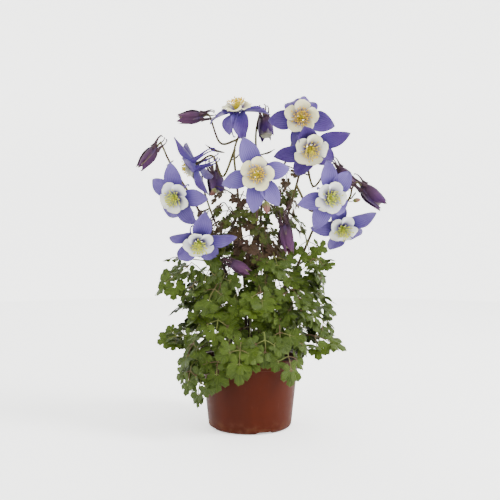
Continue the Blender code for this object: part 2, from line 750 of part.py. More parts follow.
def make_basal_leaf(name, foot_turn, hub, azimuth, elevation, bank, size, material):
    out = direction(foot_turn, 0)
    reach = CROWN_RADIUS + LEAF_FOOT_OUT
    foot = out * reach + Vector((0, 0, soil_height(reach) + STALK_SEAT + GAP))
    away = math.hypot(hub[0], hub[1])
    height = max(hub[2], POT_HEIGHT) * STALK_TOP_SHARE + foot.z * STALK_FOOT_SHARE
    start = out * (reach + STALK_OUT * (away - reach)) + Vector((0, 0, height))
    make_leaf(name, foot, start, hub, azimuth, elevation, bank, size, material)


def make_stem_leaf(name, stem, share, hub, azimuth, elevation, bank, size, material):
    foot_turn, via, target = next(row[1:4] for row in STEMS if row[0] == stem)
    at, run = point_at(stem_route(foot_turn, via, target), share)
    away = Vector(hub) - at
    out = (away - run * away.dot(run)).normalized()
    radius = STEM_RADIUS + (PEDICEL_RADIUS - STEM_RADIUS) * share
    foot = at + out * (radius + STALK_SEAT + GAP)
    start = foot.lerp(Vector(hub), STEM_STALK_SHARE) + Vector((0, 0, STEM_STALK_ARCH))
    make_leaf(name, foot, start, hub, azimuth, elevation, bank, size, material)


def main():
    remove_everything()
    make_pot(make_material("pot plastic", (0.147, 0.034, 0.019), 0.42))
    make_soil(make_material("soil", (0.022, 0.014, 0.009), 0.95))
    make_crown(make_material("crown", (0.055, 0.032, 0.014), 0.85))
    leaf = make_material("leaf", (0.085, 0.155, 0.013), 0.55)
    stem = make_material("stem", (0.045, 0.026, 0.016), 0.60)
    sepal = make_material("sepal", (0.190, 0.170, 0.480), 0.50)
    petal = make_material("petal", (0.740, 0.740, 0.590), 0.55)
    stamen = make_material("stamen", (0.620, 0.500, 0.075), 0.65)
    bud = make_material("bud", (0.085, 0.035, 0.130), 0.55)
    for row in BASAL_LEAVES:
        make_basal_leaf(*row, leaf)
    for row in STEM_LEAVES:
        make_stem_leaf(*row, leaf)
    for row in STEMS:
        make_stem(*row, stem)
    for name, place, azimuth, elevation, turn, bend, size in FLOWERS:
        frame = pose(place, azimuth, elevation, turn)
        make_sepals(name + "_sepals", frame, bend, size, sepal)
        make_petals(name + "_petals", frame, size, petal)
        make_stamens(name + "_stamens", frame, size, stamen)
    for row in BUDS:
        make_bud(*row, bud)


main()
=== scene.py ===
"""The looks of a potted columbine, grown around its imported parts.

Leaves, sepals, petals, spurs, stems and the moulded pot are surfaces worked out as whole arrays: a
shape is a function of two parameters on a grid, or a ring carried along a path. Each vertex keeps
where it lies on its own blade or tube in the attribute "trait" (along, across, underside), and the
attribute "tone" sets one blade a little apart from the next. Lengths are metres and angles degrees,
apart from the leaf tables, which give places in whole millimetres.
"""

import math

import bpy
import numpy as np
from bpy.props import FloatProperty, FloatVectorProperty, IntProperty, PointerProperty
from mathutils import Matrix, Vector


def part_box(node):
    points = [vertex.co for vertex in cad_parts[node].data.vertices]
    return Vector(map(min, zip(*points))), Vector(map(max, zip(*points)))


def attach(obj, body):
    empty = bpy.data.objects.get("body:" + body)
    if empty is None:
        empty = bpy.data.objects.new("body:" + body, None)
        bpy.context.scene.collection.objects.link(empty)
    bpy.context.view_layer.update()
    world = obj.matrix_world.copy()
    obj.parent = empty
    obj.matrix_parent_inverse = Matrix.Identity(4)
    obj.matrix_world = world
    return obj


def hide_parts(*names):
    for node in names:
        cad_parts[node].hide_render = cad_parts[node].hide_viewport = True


bl_info = {
    "name": "Potted columbine",
    "version": (1, 0, 0),
    "blender": (4, 5, 0),
    "location": "3D View > Sidebar > Columbine",
    "description": "Builds a flowering columbine and its nursery pot around the packed parts",
    "category": "Object",
}

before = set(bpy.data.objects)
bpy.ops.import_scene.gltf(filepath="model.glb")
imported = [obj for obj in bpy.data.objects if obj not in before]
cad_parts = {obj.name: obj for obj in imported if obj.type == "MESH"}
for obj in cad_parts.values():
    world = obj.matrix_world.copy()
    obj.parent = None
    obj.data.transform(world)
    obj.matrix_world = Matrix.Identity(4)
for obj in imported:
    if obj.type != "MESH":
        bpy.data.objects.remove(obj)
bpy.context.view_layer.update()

BODY = "root"
PLACE_SLACK = 0.004

# The pot and its compost
POT_HEIGHT, POT_RIM_RADIUS, POT_FOOT_RADIUS, POT_WALL = 0.0715, 0.0522, 0.0415, 0.0012
POT_CORNER, RIM_BAND, RIM_FLARE, RIM_LEDGE = 0.0045, 0.009, 0.0026, 0.0014
FLOOR_RISE, FOOT_WIDTH, PAD_RADIUS = 0.0015, 0.0025, 0.014
NOTCH_TURNS, NOTCH_HALF_ANGLE, NOTCH_HEIGHT = (22, 112, 202, 292), 13, 0.0022
DRAIN_HOLES, DRAIN_HOLE_RADIUS, DRAIN_HOLE_OUT = 6, 0.003, 0.0255
SOIL_EDGE, SOIL_DOME, CROWN_TOP = 0.0655, 0.0015, 0.0735
CROWN_RADIUS = 0.0115

# name, receptacle, azimuth and elevation that it faces, turn of its first sepal clockwise from the top,
# size, how violet it is, then each sepal's swing, share of the full length and degrees of curl
FLOWERS = (
    (1, (-0.0692, -0.0469, 0.2282), -18, -18, 2, 0.96, 0.15,
     ((-6, 0.98, 6), (22, 0.92, 22), (3, 0.95, 4), (-12, 0.80, 40), (16, 0.86, 14))),
    (2, (-0.0485, -0.0487, 0.1865), 5, -38, 10, 0.96, 0.20,
     ((0, 1.00, 20), (-6, 1.10, -10), (-10, 0.90, 25), (-8, 0.95, 20), (2, 1.00, -40))),
    (3, (-0.0123, 0.0012, 0.3155), -12, 62, 0, 1.00, 0.65,
     ((-40, 0.85, 30), (6, 0.95, 25), (20, 1.00, 88), (-14, 0.88, 80), (-12, 1.00, 48))),
    (4, (0.0066, -0.0610, 0.2478), -3, -2, -28, 1.00, 0.00,
     ((7, 1.05, 2), (34, 0.90, 30), (28, 1.02, 16), (-2, 1.02, 12), (-6, 0.98, 8))),
    (5, (0.0502, -0.0130, 0.3080), 0, -6, 38, 1.08, 0.60,
     ((-8, 0.75, 95), (-5, 0.92, 8), (0, 0.90, 60), (10, 0.86, 10), (8, 0.75, 95))),
    (6, (0.0564, -0.0421, 0.2750), 6, -28, 46, 1.06, 0.75,
     ((18, 1.10, -14), (0, 0.80, 30), (5, 0.86, 24), (-12, 0.95, 20), (6, 0.78, -40))),
    (7, (0.0754, -0.0434, 0.2284), 12, -12, -20, 0.98, 0.20,
     ((9, 1.04, 2), (-13, 0.90, 14), (6, 0.72, 35), (7, 1.00, 8), (-12, 0.95, 6))),
    (8, (0.0909, -0.0120, 0.2005), 8, -35, 52, 0.96, 0.35,
     ((2, 1.12, -16), (-8, 0.78, 20), (0, 0.88, 12), (0, 0.95, 10), (0, 0.95, 22))),
    (9, (-0.0557, 0.0169, 0.2648), -106, -24, 30, 0.98, 1.00,
     ((0, 1.05, -10), (-10, 1.00, 10), (6, 1.00, 5), (0, 0.95, 25), (10, 1.05, -6))),
)

# number, base, azimuth and elevation that it points, size, how open, how far it is from plum to violet
BUDS = (
    (1, (-0.0940, 0.0000, 0.2805), -95, -50, 1.15, 0.15, 0.25),
    (2, (-0.0485, 0.0280, 0.3160), -100, -4, 1.15, 0.35, 0.00),
    (3, (0.0146, 0.0300, 0.3165), 20, -72, 1.05, 0.80, 0.85),
    (4, (0.0903, 0.0220, 0.2615), 85, -50, 1.10, 0.60, 0.55),
    (5, (0.1125, 0.0020, 0.2415), 95, -40, 1.25, 0.45, 0.60),
    (6, (0.0329, -0.0300, 0.2030), 32, -72, 1.20, 0.20, 0.10),
    (7, (-0.0194, -0.0300, 0.1658), 80, -30, 0.95, 0.30, 0.00),
    (8, (-0.0400, 0.0560, 0.2620), 60, -75, 1.15, 0.70, 0.65),
)

# number, foot's azimuth on the crown, points that the main axis passes, what it ends in, and branches:
# share of the axis where each leaves, points that it passes, what it ends in
STEMS = (
    (1, -90,
     ((-0.012, -0.004, 0.125), (-0.036, -0.008, 0.180), (-0.054, -0.006, 0.222), (-0.080, -0.001, 0.264)),
     "bud 1",
     ((0.40, ((-0.040, -0.026, 0.182),), "flower 2"), (0.62, ((-0.058, -0.024, 0.222),), "flower 1"))),
    (2, -150, ((-0.006, 0.006, 0.150), (-0.012, 0.004, 0.230), (-0.016, 0.003, 0.275)), "flower 3",
     ((0.36, ((-0.028, 0.036, 0.190), (-0.050, 0.064, 0.240), (-0.051, 0.063, 0.264)), "bud 8"),
      (0.62, ((-0.028, 0.016, 0.252),), "flower 9"), (0.71, ((-0.031, 0.026, 0.288),), "bud 2"))),
    (3, -30, ((0.003, -0.010, 0.150), (0.006, -0.020, 0.200), (0.008, -0.036, 0.236)), "flower 4",
     ((0.24, ((-0.021, -0.017, 0.162),), "bud 7"),)),
    (4, 150, ((0.006, 0.010, 0.150), (0.012, 0.020, 0.230), (0.006, 0.032, 0.290), (0.010, 0.0395, 0.319)),
     "bud 3", ((0.46, ((0.030, 0.012, 0.258), (0.045, 0.016, 0.292)), "flower 5"),)),
    (5, 90, ((0.016, -0.004, 0.140), (0.034, -0.010, 0.200), (0.048, -0.018, 0.250)), "flower 6",
     ((0.50, ((0.028, -0.022, 0.205),), "bud 6"), (0.56, ((0.060, -0.022, 0.215),), "flower 7"),
      (0.74, ((0.064, 0.010, 0.242), (0.078, 0.0225, 0.258)), "bud 4"))),
    (6, 30, ((0.020, -0.014, 0.115), (0.047, -0.014, 0.162), (0.070, 0.006, 0.208)), "flower 8",
     ((0.56, ((0.084, 0.017, 0.206), (0.100, 0.005, 0.228), (0.1032, 0.0025, 0.2395)), "bud 5"),)),
)

# number, foot's azimuth beside the crown, where the leaflets part (x, y, z), the way the middle one
# points as azimuth and elevation, bank, size
BASAL_LEAVES = (
    (1, -150, -34, 60, 80, -150, -48, 0, 0.95), (2, -102, -66, -4, 92, -95, 4, -35, 0.85),
    (3, -48, -49, -42, 78, -52, -66, 0, 0.95), (4, -12, -9, -67, 86, -8, -58, 0, 0.95),
    (5, 26, 36, -53, 78, 34, -66, 0, 0.95), (6, 72, 64, -14, 92, 80, -14, 38, 0.95),
    (7, 132, 46, 46, 82, 132, -45, 0, 0.95), (8, -86, -74, -14, 150, -88, -18, -40, 0.95),
    (9, -62, -40, -36, 122, -48, -28, -8, 1), (10, 0, 4, -46, 130, -4, -34, 0, 1),
    (11, 48, 42, -34, 126, 44, -22, 10, 1), (12, 92, 62, 8, 128, 90, -20, 25, 1),
    (13, 176, 4, 50, 124, 176, -28, 0, 1.05),
)
# number, where the leaflets part, azimuth and elevation of the middle one, bank, size
STEM_LEAVES = (
    (1, -46, 12, 178, -70, -8, -20, 0.62), (2, 26, 40, 262, 120, 10, 0, 0.52),
    (3, 64, -42, 168, 30, -20, 20, 0.7),
)
# The leaves that fill the plant: where the leaflets part, azimuth, elevation, bank, size
LOWER_LEAVES = (
    (-30, -57, 74, -26, -74, 0, 0.9), (-10, -61, 78, -6, -72, 0, 0.85), (-46, -58, 55, -40, -78, 10, 0.8),
    (-54, -40, 88, -54, -60, 0, 0.9), (-72, -18, 92, -78, -12, -30, 0.7),
    (-30, -52, 112, -20, -62, -10, 0.85), (-20, -56, 90, -30, -70, 15, 0.95),
    (14, -58, 94, 10, -66, -12, 0.85), (28, -50, 100, 20, -72, 10, 0.85),
    (-52, -30, 100, -60, -56, 12, 0.9), (-56, -50, 64, -50, -72, 0, 0.85), (-58, -10, 74, -80, -60, 0, 0.8),
    (46, -32, 98, 44, -58, -14, 0.9), (52, 20, 100, 112, -42, 0, 0.95), (24, 58, 88, 160, -50, 8, 0.95),
    (-10, 60, 96, -172, -46, 0, 0.95), (-52, 34, 104, -128, -40, 0, 0.95), (0, -36, 104, 0, -78, 0, 0.9),
    (-24, -30, 118, -34, -52, 0, 0.9), (22, -32, 116, 24, -56, 0, 0.9), (44, 4, 112, 80, -50, 0, 0.95),
    (-44, 6, 116, -92, -46, 0, 0.95), (20, 34, 112, 150, -50, 0, 0.95), (-22, 32, 112, -150, -50, 0, 0.95),
)
UPPER_LEAVES = (
    (-34, -40, 140, -40, -46, 0, 0.9), (10, -48, 138, 10, -50, 0, 0.9), (40, -38, 140, 44, -44, 0, 0.9),
    (-60, 4, 128, -84, -40, 0, 0.9), (-16, -40, 128, -16, -54, 8, 0.9), (26, -40, 124, 30, -54, 0, 0.9),
    (64, -10, 158, 66, -40, 0, 0.85), (-56, -22, 142, -60, -40, 0, 0.85), (24, -34, 170, 20, -40, 0, 0.75),
    (-31, -18, 178, -40, -40, 0, 0.75), (-62, -10, 160, -70, -34, -20, 0.8),
    (-40, -24, 158, -50, -58, 0, 0.9), (-26, -34, 150, -30, -50, 8, 0.85),
    (-12, -22, 144, -10, -60, 0, 0.8), (14, -30, 158, 14, -58, 0, 0.85), (34, -26, 160, 32, -50, 0, 0.9),
    (50, -14, 150, 60, -38, 10, 0.95), (62, -2, 138, 84, -34, 12, 0.9), (58, -22, 120, 60, -52, 0, 0.85),
    (38, 22, 154, 124, -36, 0, 0.95), (10, 36, 158, 168, -36, 0, 0.95), (-20, 34, 158, -150, -40, 0, 0.95),
    (-44, 22, 150, -114, -36, 0, 0.95), (0, -8, 168, 0, -30, 0, 0.8), (-50, 4, 136, -88, -52, 0, 0.9),
    (20, 4, 166, 70, -34, 0, 0.8), (-20, 6, 170, -80, -30, 0, 0.8), (-30, -10, 146, -60, -60, 0, 0.85),
    (30, -6, 142, 40, -62, 0, 0.85), (74, 4, 104, 80, -50, 20, 0.85),
)
BRONZE_LEAVES = (
    (-44, -8, 216, -60, -50, 0, 0.5), (-22, -16, 216, -30, -60, 0, 0.52), (-30, 10, 236, -70, -40, 0, 0.48),
    (2, -20, 218, 10, -64, 0, 0.5), (-34, -16, 202, -40, -60, 10, 0.55), (46, -10, 206, 60, -56, 0, 0.5),
    (28, 10, 218, 80, -50, 0, 0.48), (-14, 10, 250, -40, -50, 0, 0.44), (12, 14, 246, 40, -50, 0, 0.42),
    (-34, -18, 182, -50, -64, 10, 0.69), (2, -16, 180, -10, -72, 0, 0.74), (20, -26, 176, 24, -72, 0, 0.69),
    (-20, -4, 196, -60, -44, 0, 0.67), (6, -12, 210, 10, -54, 0, 0.65), (-32, 4, 222, -70, -44, 12, 0.56),
    (36, -14, 214, 50, -54, 0, 0.56), (-8, -14, 232, -20, -54, 0, 0.52), (20, 0, 234, 70, -44, 0, 0.52),
    (42, -4, 226, 70, -64, 0, 0.52), (-30, -10, 196, -60, -54, 0, 0.56),
    (-12, -18, 206, -20, -64, 10, 0.62), (-20, 4, 214, -90, -44, 0, 0.56), (0, -20, 192, 0, -70, 0, 0.62),
    (14, -22, 200, 20, -58, 0, 0.56), (24, -12, 190, 50, -64, 0, 0.62), (-4, 4, 220, 30, -34, 0, 0.5),
    (10, 18, 206, 130, -54, 0, 0.62), (-18, 26, 206, -140, -54, 0, 0.62),
    (-40, -4, 206, -80, -38, -10, 0.54), (20, -16, 222, 40, -14, 20, 0.47), (40, 6, 206, 90, -44, 0, 0.56),
    (-10, -12, 182, -30, -72, 0, 0.67), (34, -16, 178, 40, -72, 0, 0.67),
    (-26, 10, 186, -110, -72, 0, 0.67), (6, 24, 182, 170, -70, 0, 0.67), (-46, -16, 194, -70, -64, 0, 0.5),
    (12, -30, 182, 10, -72, 0, 0.56), (30, -12, 236, 20, -72, 0, 0.5), (36, 4, 258, 20, -72, 15, 0.54),
)
GREEN_STEM_LEAVES = (
    (56, -20, 186, 20, -64, 10, 0.8), (62, -26, 170, 50, -60, 0, 0.6), (36, -4, 238, 10, -74, 0, 0.5),
    (19, -18, 216, 60, -20, 30, 0.42), (106, 14, 206, 60, -74, 10, 0.45),
    (-72, -10, 170, -80, -10, 0, 0.42), (-26, -20, 190, -60, -50, 0, 0.52),
)
# Plain narrow bracts: foot, azimuth, elevation, length, width, bank
BRACTS = (
    ((-0.026, 0.024, 0.278), -80, 20, 0.022, 0.010, 0), ((-0.020, 0.010, 0.268), 70, 30, 0.017, 0.006, 20),
    ((0.008, 0.030, 0.276), 88, 18, 0.019, 0.008, 0), ((-0.084, -0.001, 0.262), 60, 30, 0.010, 0.003, 0),
    ((-0.076, -0.003, 0.256), -60, 20, 0.010, 0.003, 0), ((0.006, 0.026, 0.262), -70, 24, 0.012, 0.005, 0),
    ((0.062, 0.010, 0.240), 100, 30, 0.012, 0.004, 0), ((0.101, 0.005, 0.228), 60, 50, 0.010, 0.004, 0),
    ((-0.054, -0.020, 0.214), -120, 20, 0.011, 0.004, 0),
    ((0.048, -0.018, 0.250), 110, 30, 0.012, 0.005, 0),
)
# Tight young buds: base, azimuth, elevation, length
YOUNG_BUDS = (
    ((0.1030, -0.006, 0.226), 80, 10, 0.0075), ((0.0150, -0.034, 0.224), 20, -70, 0.0120),
    ((-0.036, 0.018, 0.240), -60, -60, 0.0090), ((0.030, 0.024, 0.262), 150, -50, 0.0100),
    ((0.002, 0.034, 0.244), -160, -40, 0.0090),
)
# How golden each flower's stamens are, from pale green-yellow to full gold
GOLD = (0.1, 0.1, 0.8, 0.75, 1.0, 0.6, 0.1, 0.1, 0.6)
# A leaf: turn and share of size of its side groups, half the fan of a leaflet, turn from lobe to lobe,
# depth of the gaps between lobes and of the teeth
LEAFLET_SIDE_TURN, LEAFLET_SIDE_SIZE = 68, 0.86
LEAFLET_OPEN, LOBE_TURN = 118, 72
LOBE_GAP, TOOTH_DEPTH = 0.58, 0.085
# Leaves on the flower stems: how much longer their group stalks are, and how much larger they are
STEM_LEAF_OPENNESS, STEM_LEAF_GROWTH = 1.22, 1.14
BRONZE_STEM_LEAF = 2
# Stems: radius at the foot and at the end of a main axis and of a branch, and the down's share over it
AXIS_RADII, BRANCH_RADII, DOWN_SHARE = (0.00130, 0.00072), (0.00095, 0.00070), 1.38
STEM_RINGS, STEM_SIDES = 34, 9
# Blades and spurs
BLADE_THICKNESS, PETAL_WAVE, SEPAL_WAVE, BRACT_WAVE, BUD_WAVE = 0.0005, 0.0018, 0.0012, 0.0008, 0.0004
PETAL_TWIST, SPUR_MOUTH, SPUR_OUT = 7, 0.0029, 0.0062
GOLDEN_TURN, CREASE_ANGLE, ROUND = 137.5, 62, 2 * math.pi
# What starts each piece's own row of random draws
COMPOST_SEED, BRACT_SEED, BASAL_LEAF_SEED, STEM_LEAF_SEED = 5, 11, 100, 200
FLOWER_SEED, BUD_SEED, FILL_LEAF_SEED = 300, 400, 1000
# Leaves: deep and bright green, vein, underside, margin. The panel holds the first two of the green ones
GREEN_LEAF = ((0.058, 0.090, 0.004), (0.036, 0.056, 0.006), (0.028, 0.032, 0.0015))
OLIVE_LEAF = (
    (0.007, 0.012, 0.0005), (0.036, 0.048, 0.0012), (0.07, 0.08, 0.01), (0.045, 0.055, 0.014),
    (0.045, 0.022, 0.008),
)
BRONZE_LEAF = (
    (0.024, 0.009, 0.007), (0.044, 0.030, 0.005), (0.07, 0.045, 0.020), (0.036, 0.022, 0.014),
    (0.036, 0.010, 0.010),
)
# Stalks, stems and the crown: colour below, colour above, blush
GREEN_STALK = ((0.085, 0.10, 0.022), (0.075, 0.075, 0.02), (0.06, 0.035, 0.018))
BRONZE_STALK = ((0.036, 0.019, 0.012), (0.036, 0.019, 0.012), (0.055, 0.042, 0.014))
FLOWER_STEM = ((0.040, 0.022, 0.012), (0.055, 0.045, 0.014), (0.034, 0.015, 0.017))
CROWN_BARK = ((0.060, 0.034, 0.018), (0.060, 0.034, 0.018), (0.085, 0.070, 0.025))
# Petals and sepals: pale, rich, base, tip, underside, veins from the middle to a margin, roughness. The
# panel holds the colours that are missing here
SEPAL_SKIN = ((0.040, 0.026, 0.145), (0.080, 0.072, 0.125), (0.074, 0.056, 0.180), 5, 0.52)
PETAL_SKIN = ((0.49, 0.50, 0.52), (0.10, 0.08, 0.22), (0.56, 0.54, 0.30), (0.34, 0.35, 0.38), 6, 0.55)
SPUR_PALE, SPUR_RICH, SPUR_BASE = (0.055, 0.030, 0.180), (0.030, 0.012, 0.110), (0.045, 0.022, 0.150)
SPUR_UNDERSIDE = (0.040, 0.020, 0.120)
BUD_SKIN = (
    (0.052, 0.013, 0.026), (0.024, 0.006, 0.068), (0.030, 0.013, 0.020), (0.08, 0.066, 0.016),
    (0.035, 0.012, 0.050), 5, 0.6,
)
BUD_PETALS = (
    (0.090, 0.060, 0.040), (0.070, 0.055, 0.090), (0.035, 0.018, 0.050), (0.22, 0.22, 0.12),
    (0.08, 0.06, 0.06), 5, 0.6,
)
YOUNG_BUD_SKIN = (
    (0.20, 0.11, 0.06), (0.13, 0.045, 0.06), (0.13, 0.15, 0.04), (0.16, 0.05, 0.07),
    (0.15, 0.08, 0.06), 5, 0.6,
)
# The stage
FLOOR_GLOW, BACKDROP_GLOW, CAMERA_TILT, STAGE_SIDES = 0.75, 1.15, 89, 96
# name, place, what it aims at, size, share of the key light's power
LAMPS = (
    ("key light", (1.25, -0.45, 1.15), (0, 0, 0.12), 0.55, 1.35),
    ("fill light", (-1.2, -1.1, 0.9), (0, 0, 0.16), 1.4, 0.22),
    ("back light", (-0.3, 1.3, 1.4), (0, 0, 0.18), 1.0, 0.45),
)


# ---------------------------------------------------------------- shapes


def unit(vector):
    """The vector, or each row of an array, divided by its own length."""
    vector = np.asarray(vector, float)
    return vector / np.maximum(np.linalg.norm(vector, axis=-1, keepdims=True), 1e-12)


def direction(azimuth, elevation):
    """The unit vector at an azimuth, 0 at the front and growing towards +X, and an elevation."""
    a, e = math.radians(azimuth), math.radians(elevation)
    return np.array((math.sin(a) * math.cos(e), -math.cos(a) * math.cos(e), math.sin(e)))


def turned(vectors, axis, degrees):
    """Vectors turned about a unit axis: v cos + (axis x v) sin + axis (axis . v)(1 - cos)."""
    angle = math.radians(degrees)
    vectors = np.asarray(vectors, float)
    along = vectors @ axis
    swept = np.cross(axis, vectors) * math.sin(angle)
    return vectors * math.cos(angle) + swept + np.multiply.outer(along, axis) * (1 - math.cos(angle))


def facing_frame(place, azimuth, elevation, turn=0.0):
    """(place, axes): rows X, Y, Z, with Z the way it faces and X turned clockwise from the top."""
    facing = direction(azimuth, elevation)
    top = unit(np.array((0, 0, 1.0)) - facing * facing[2])
    first = turned(top, facing, -turn)
    return np.asarray(place, float), np.array((first, np.cross(facing, first), facing))


def spun(axes, degrees):
    """The same axes turned about their own Z."""
    return turned(axes, axes[2], degrees)


def banked(axes, degrees, lift=None):
    """The same axes with Y turned about X by degrees, and Z by lift where it differs."""
    lift = degrees if lift is None else lift
    return np.vstack((axes[0], turned(axes[1], axes[0], degrees), turned(axes[2], axes[0], lift)))


def smooth_curve(knots, steps):
    """Catmull-Rom points through the knots: for each stretch b to c, a cubic in t with slope (c - a) / 2."""
    knots = np.asarray(knots, float)
    padded = np.vstack((2 * knots[0] - knots[1], knots, 2 * knots[-1] - knots[-2]))
    a, b, c, d = (padded[i : len(padded) - 3 + i, None] for i in range(4))
    t = (np.arange(steps) / steps)[None, :, None]
    curve = 2 * b + (c - a) * t + (2 * a - 5 * b + 4 * c - d) * t**2 + (3 * b - a - 3 * c + d) * t**3
    return np.vstack(((curve / 2).reshape(-1, 3), knots[-1]))


def resampled(path, shares):
    """Points of a path at shares of its length."""
    reach = np.concatenate(([0], np.cumsum(np.linalg.norm(np.diff(path, axis=0), axis=1))))
    return np.stack([np.interp(np.asarray(shares) * reach[-1], reach, path[:, i]) for i in range(3)], -1)


def grid_quads(rows, columns, ring):
    """Quads of a grid of points, closed round when ring is set."""
    i = np.arange(rows - 1)[:, None] * columns
    j = np.arange(columns if ring else columns - 1)[None]
    k = (j + 1) % columns
    return np.stack((i + j, i + k, i + columns + k, i + columns + j), -1).reshape(-1, 4)


def faced_out(points, quads, triangles):
    """The faces, turned over when the closed shape's volume comes out negative."""
    split = np.vstack((quads[:, [0, 1, 2]], quads[:, [0, 2, 3]], triangles))
    a, b, c = (points[split[:, i]] for i in range(3))
    if np.einsum("ij,ij->", a, np.cross(b, c)) < 0:
        return quads[:, ::-1], triangles[:, ::-1]
    return quads, triangles


def part(points, quads, triangles, trait, tone):
    """A closed shape that faces out, with its trait and one even tone."""
    middle = points.mean(0)
    quads, triangles = faced_out(points - middle, quads, triangles)
    return points, quads, triangles, trait, np.full(len(points), float(tone))


def shell(sheet, along, across, tone):
    """A closed blade: a grid of points moved half its thickness to each side along its own normals,
    which are the cross product of its two slopes, and joined round its edge."""
    rows, columns = sheet.shape[:2]
    normal = unit(np.cross(np.gradient(sheet, axis=0), np.gradient(sheet, axis=1)))
    edge = np.ones((rows, columns, 1))
    edge[0], edge[-1], edge[:, 0], edge[:, -1] = 0.35, 0.35, 0.35, 0.35
    lift = normal * edge * BLADE_THICKNESS / 2
    points = np.vstack(((sheet + lift).reshape(-1, 3), (sheet - lift).reshape(-1, 3)))
    top = grid_quads(rows, columns, False)
    count = rows * columns
    rim = np.concatenate((
        np.arange(columns), np.arange(1, rows) * columns + columns - 1,
        count - 2 - np.arange(columns - 1), np.arange(rows - 2, 0, -1) * columns,
    ))
    after = np.roll(rim, -1)
    wall = np.stack((rim, rim + count, after + count, after), -1)
    quads = np.vstack((top, top[:, ::-1] + count, wall))
    flat = np.stack((np.broadcast_to(along, (rows, columns)), np.broadcast_to(across, (rows, columns))), -1)
    flat = flat.reshape(-1, 2)
    under = np.repeat((0.0, 1.0), count)[:, None]
    trait = np.hstack((np.vstack((flat, flat)), under))
    return part(points, quads, np.zeros((0, 3), int), trait, tone)


def tube(path, stations, radii, sides, tone, lobes=0.0):
    """Rings of the given radii at stations along a path, closed by a point at each end. Stations may
    turn back, which makes a cup. Lobes swell each ring by lobes * cos(5 * angle)."""
    path = np.asarray(path, float)
    stations, radii = np.asarray(stations, float), np.asarray(radii, float)
    centre = resampled(path, np.clip(stations, 0, 1))
    run = unit(
        resampled(path, np.clip(stations + 0.02, 0, 1)) - resampled(path, np.clip(stations - 0.02, 0, 1))
    )
    lean = np.eye(3)[np.abs(run).mean(0).argmin()]
    side = unit(np.cross(run, lean))
    other = np.cross(run, side)
    angle = np.arange(sides) / sides * ROUND
    swell = (1 + lobes * np.cos(5 * angle))[None, :, None] * radii[:, None, None]
    rings = centre[:, None] + swell * (
        side[:, None] * np.cos(angle)[None, :, None] + other[:, None] * np.sin(angle)[None, :, None]
    )
    count = len(stations) * sides
    points = np.vstack((rings.reshape(-1, 3), centre[:1], centre[-1:]))
    quads = grid_quads(len(stations), sides, True)
    j = np.arange(sides)
    k = (j + 1) % sides
    last = count - sides
    start = np.stack((np.full(sides, count), k, j), -1)
    end = np.stack((np.full(sides, count + 1), last + j, last + k), -1)
    trait = np.zeros((len(points), 3))
    trait[:count, 0] = np.repeat(stations, sides)
    trait[:count, 1] = np.tile(np.cos(angle), len(stations))
    trait[count, 0], trait[count + 1, 0] = stations[0], stations[-1]
    return part(points, quads, np.vstack((start, end)), trait, tone)


def lathe(profile, sides, rise=None):
    """A profile of (radius, height) pairs turned about Z, closed by a point at each end. rise may add
    a height for each ring and angle."""
    profile = np.asarray(profile, float)
    angle = np.arange(sides) / sides * ROUND
    radius, height = profile[1:-1, :1], profile[1:-1, 1:]
    lifted = height + (rise(radius, height, angle[None]) if rise else 0 * angle[None])
    rings = np.stack((radius * np.cos(angle), radius * np.sin(angle), lifted), -1)
    count = rings.shape[0] * sides
    points = np.vstack((rings.reshape(-1, 3), (0, 0, profile[0, 1]), (0, 0, profile[-1, 1])))
    quads = grid_quads(len(profile) - 2, sides, True)
    j = np.arange(sides)
    k = (j + 1) % sides
    ends = np.vstack((
        np.stack((np.full(sides, count), k, j), -1),
        np.stack((np.full(sides, count + 1), count - sides + j, count - sides + k), -1),
    ))
    return part(points, quads, ends, np.zeros((len(points), 3)), 0.5)


def arc_line(length, start, curl, rows):
    """Out and up along a blade whose slope goes from start to start - curl degrees: running sums of
    the cosine and the sine of the slope."""
    share = np.linspace(0, 1, rows)
    slope = np.radians(start - curl * share)
    step = length / (rows - 1)
    out = np.concatenate(([0], np.cumsum((np.cos(slope[1:]) + np.cos(slope[:-1])) / 2))) * step
    up = np.concatenate(([0], np.cumsum((np.sin(slope[1:]) + np.sin(slope[:-1])) / 2))) * step
    return share, out, up


def blade(origin, axes, out, up, half, bow, columns, wave, tone, trim=0.0):
    """A blade about the middle line (out, up) in the X-Z plane of axes: across it, the point v of the
    half width is moved by bow * half * v^2 along the line's normal, with a wave on the margins. trim
    draws the corners of the tip back, by trim * v^4 of the length."""
    rows = len(out)
    v = np.linspace(-1, 1, columns)[None]
    share = np.linspace(0, 1, rows)[:, None]
    back = share * (1 - trim * v**4 * share**2)
    o = np.interp(back, share[:, 0], out)
    z = np.interp(back, share[:, 0], up)
    along_o, along_z = np.gradient(out)[:, None], np.gradient(up)[:, None]
    scale = np.maximum(np.hypot(along_o, along_z), 1e-12)
    half = half[:, None]
    ruffle = np.sin(9 * share + 3 * v + 20 * tone)
    rise = half * np.asarray(bow) * v**2 + wave * np.abs(v) ** 2 * ruffle * share
    o = o - along_z / scale * rise
    z = z + along_o / scale * rise
    sheet = np.stack((o, half * v * np.ones((rows, 1)), z), -1) @ axes + origin
    return shell(sheet, share, v, tone)


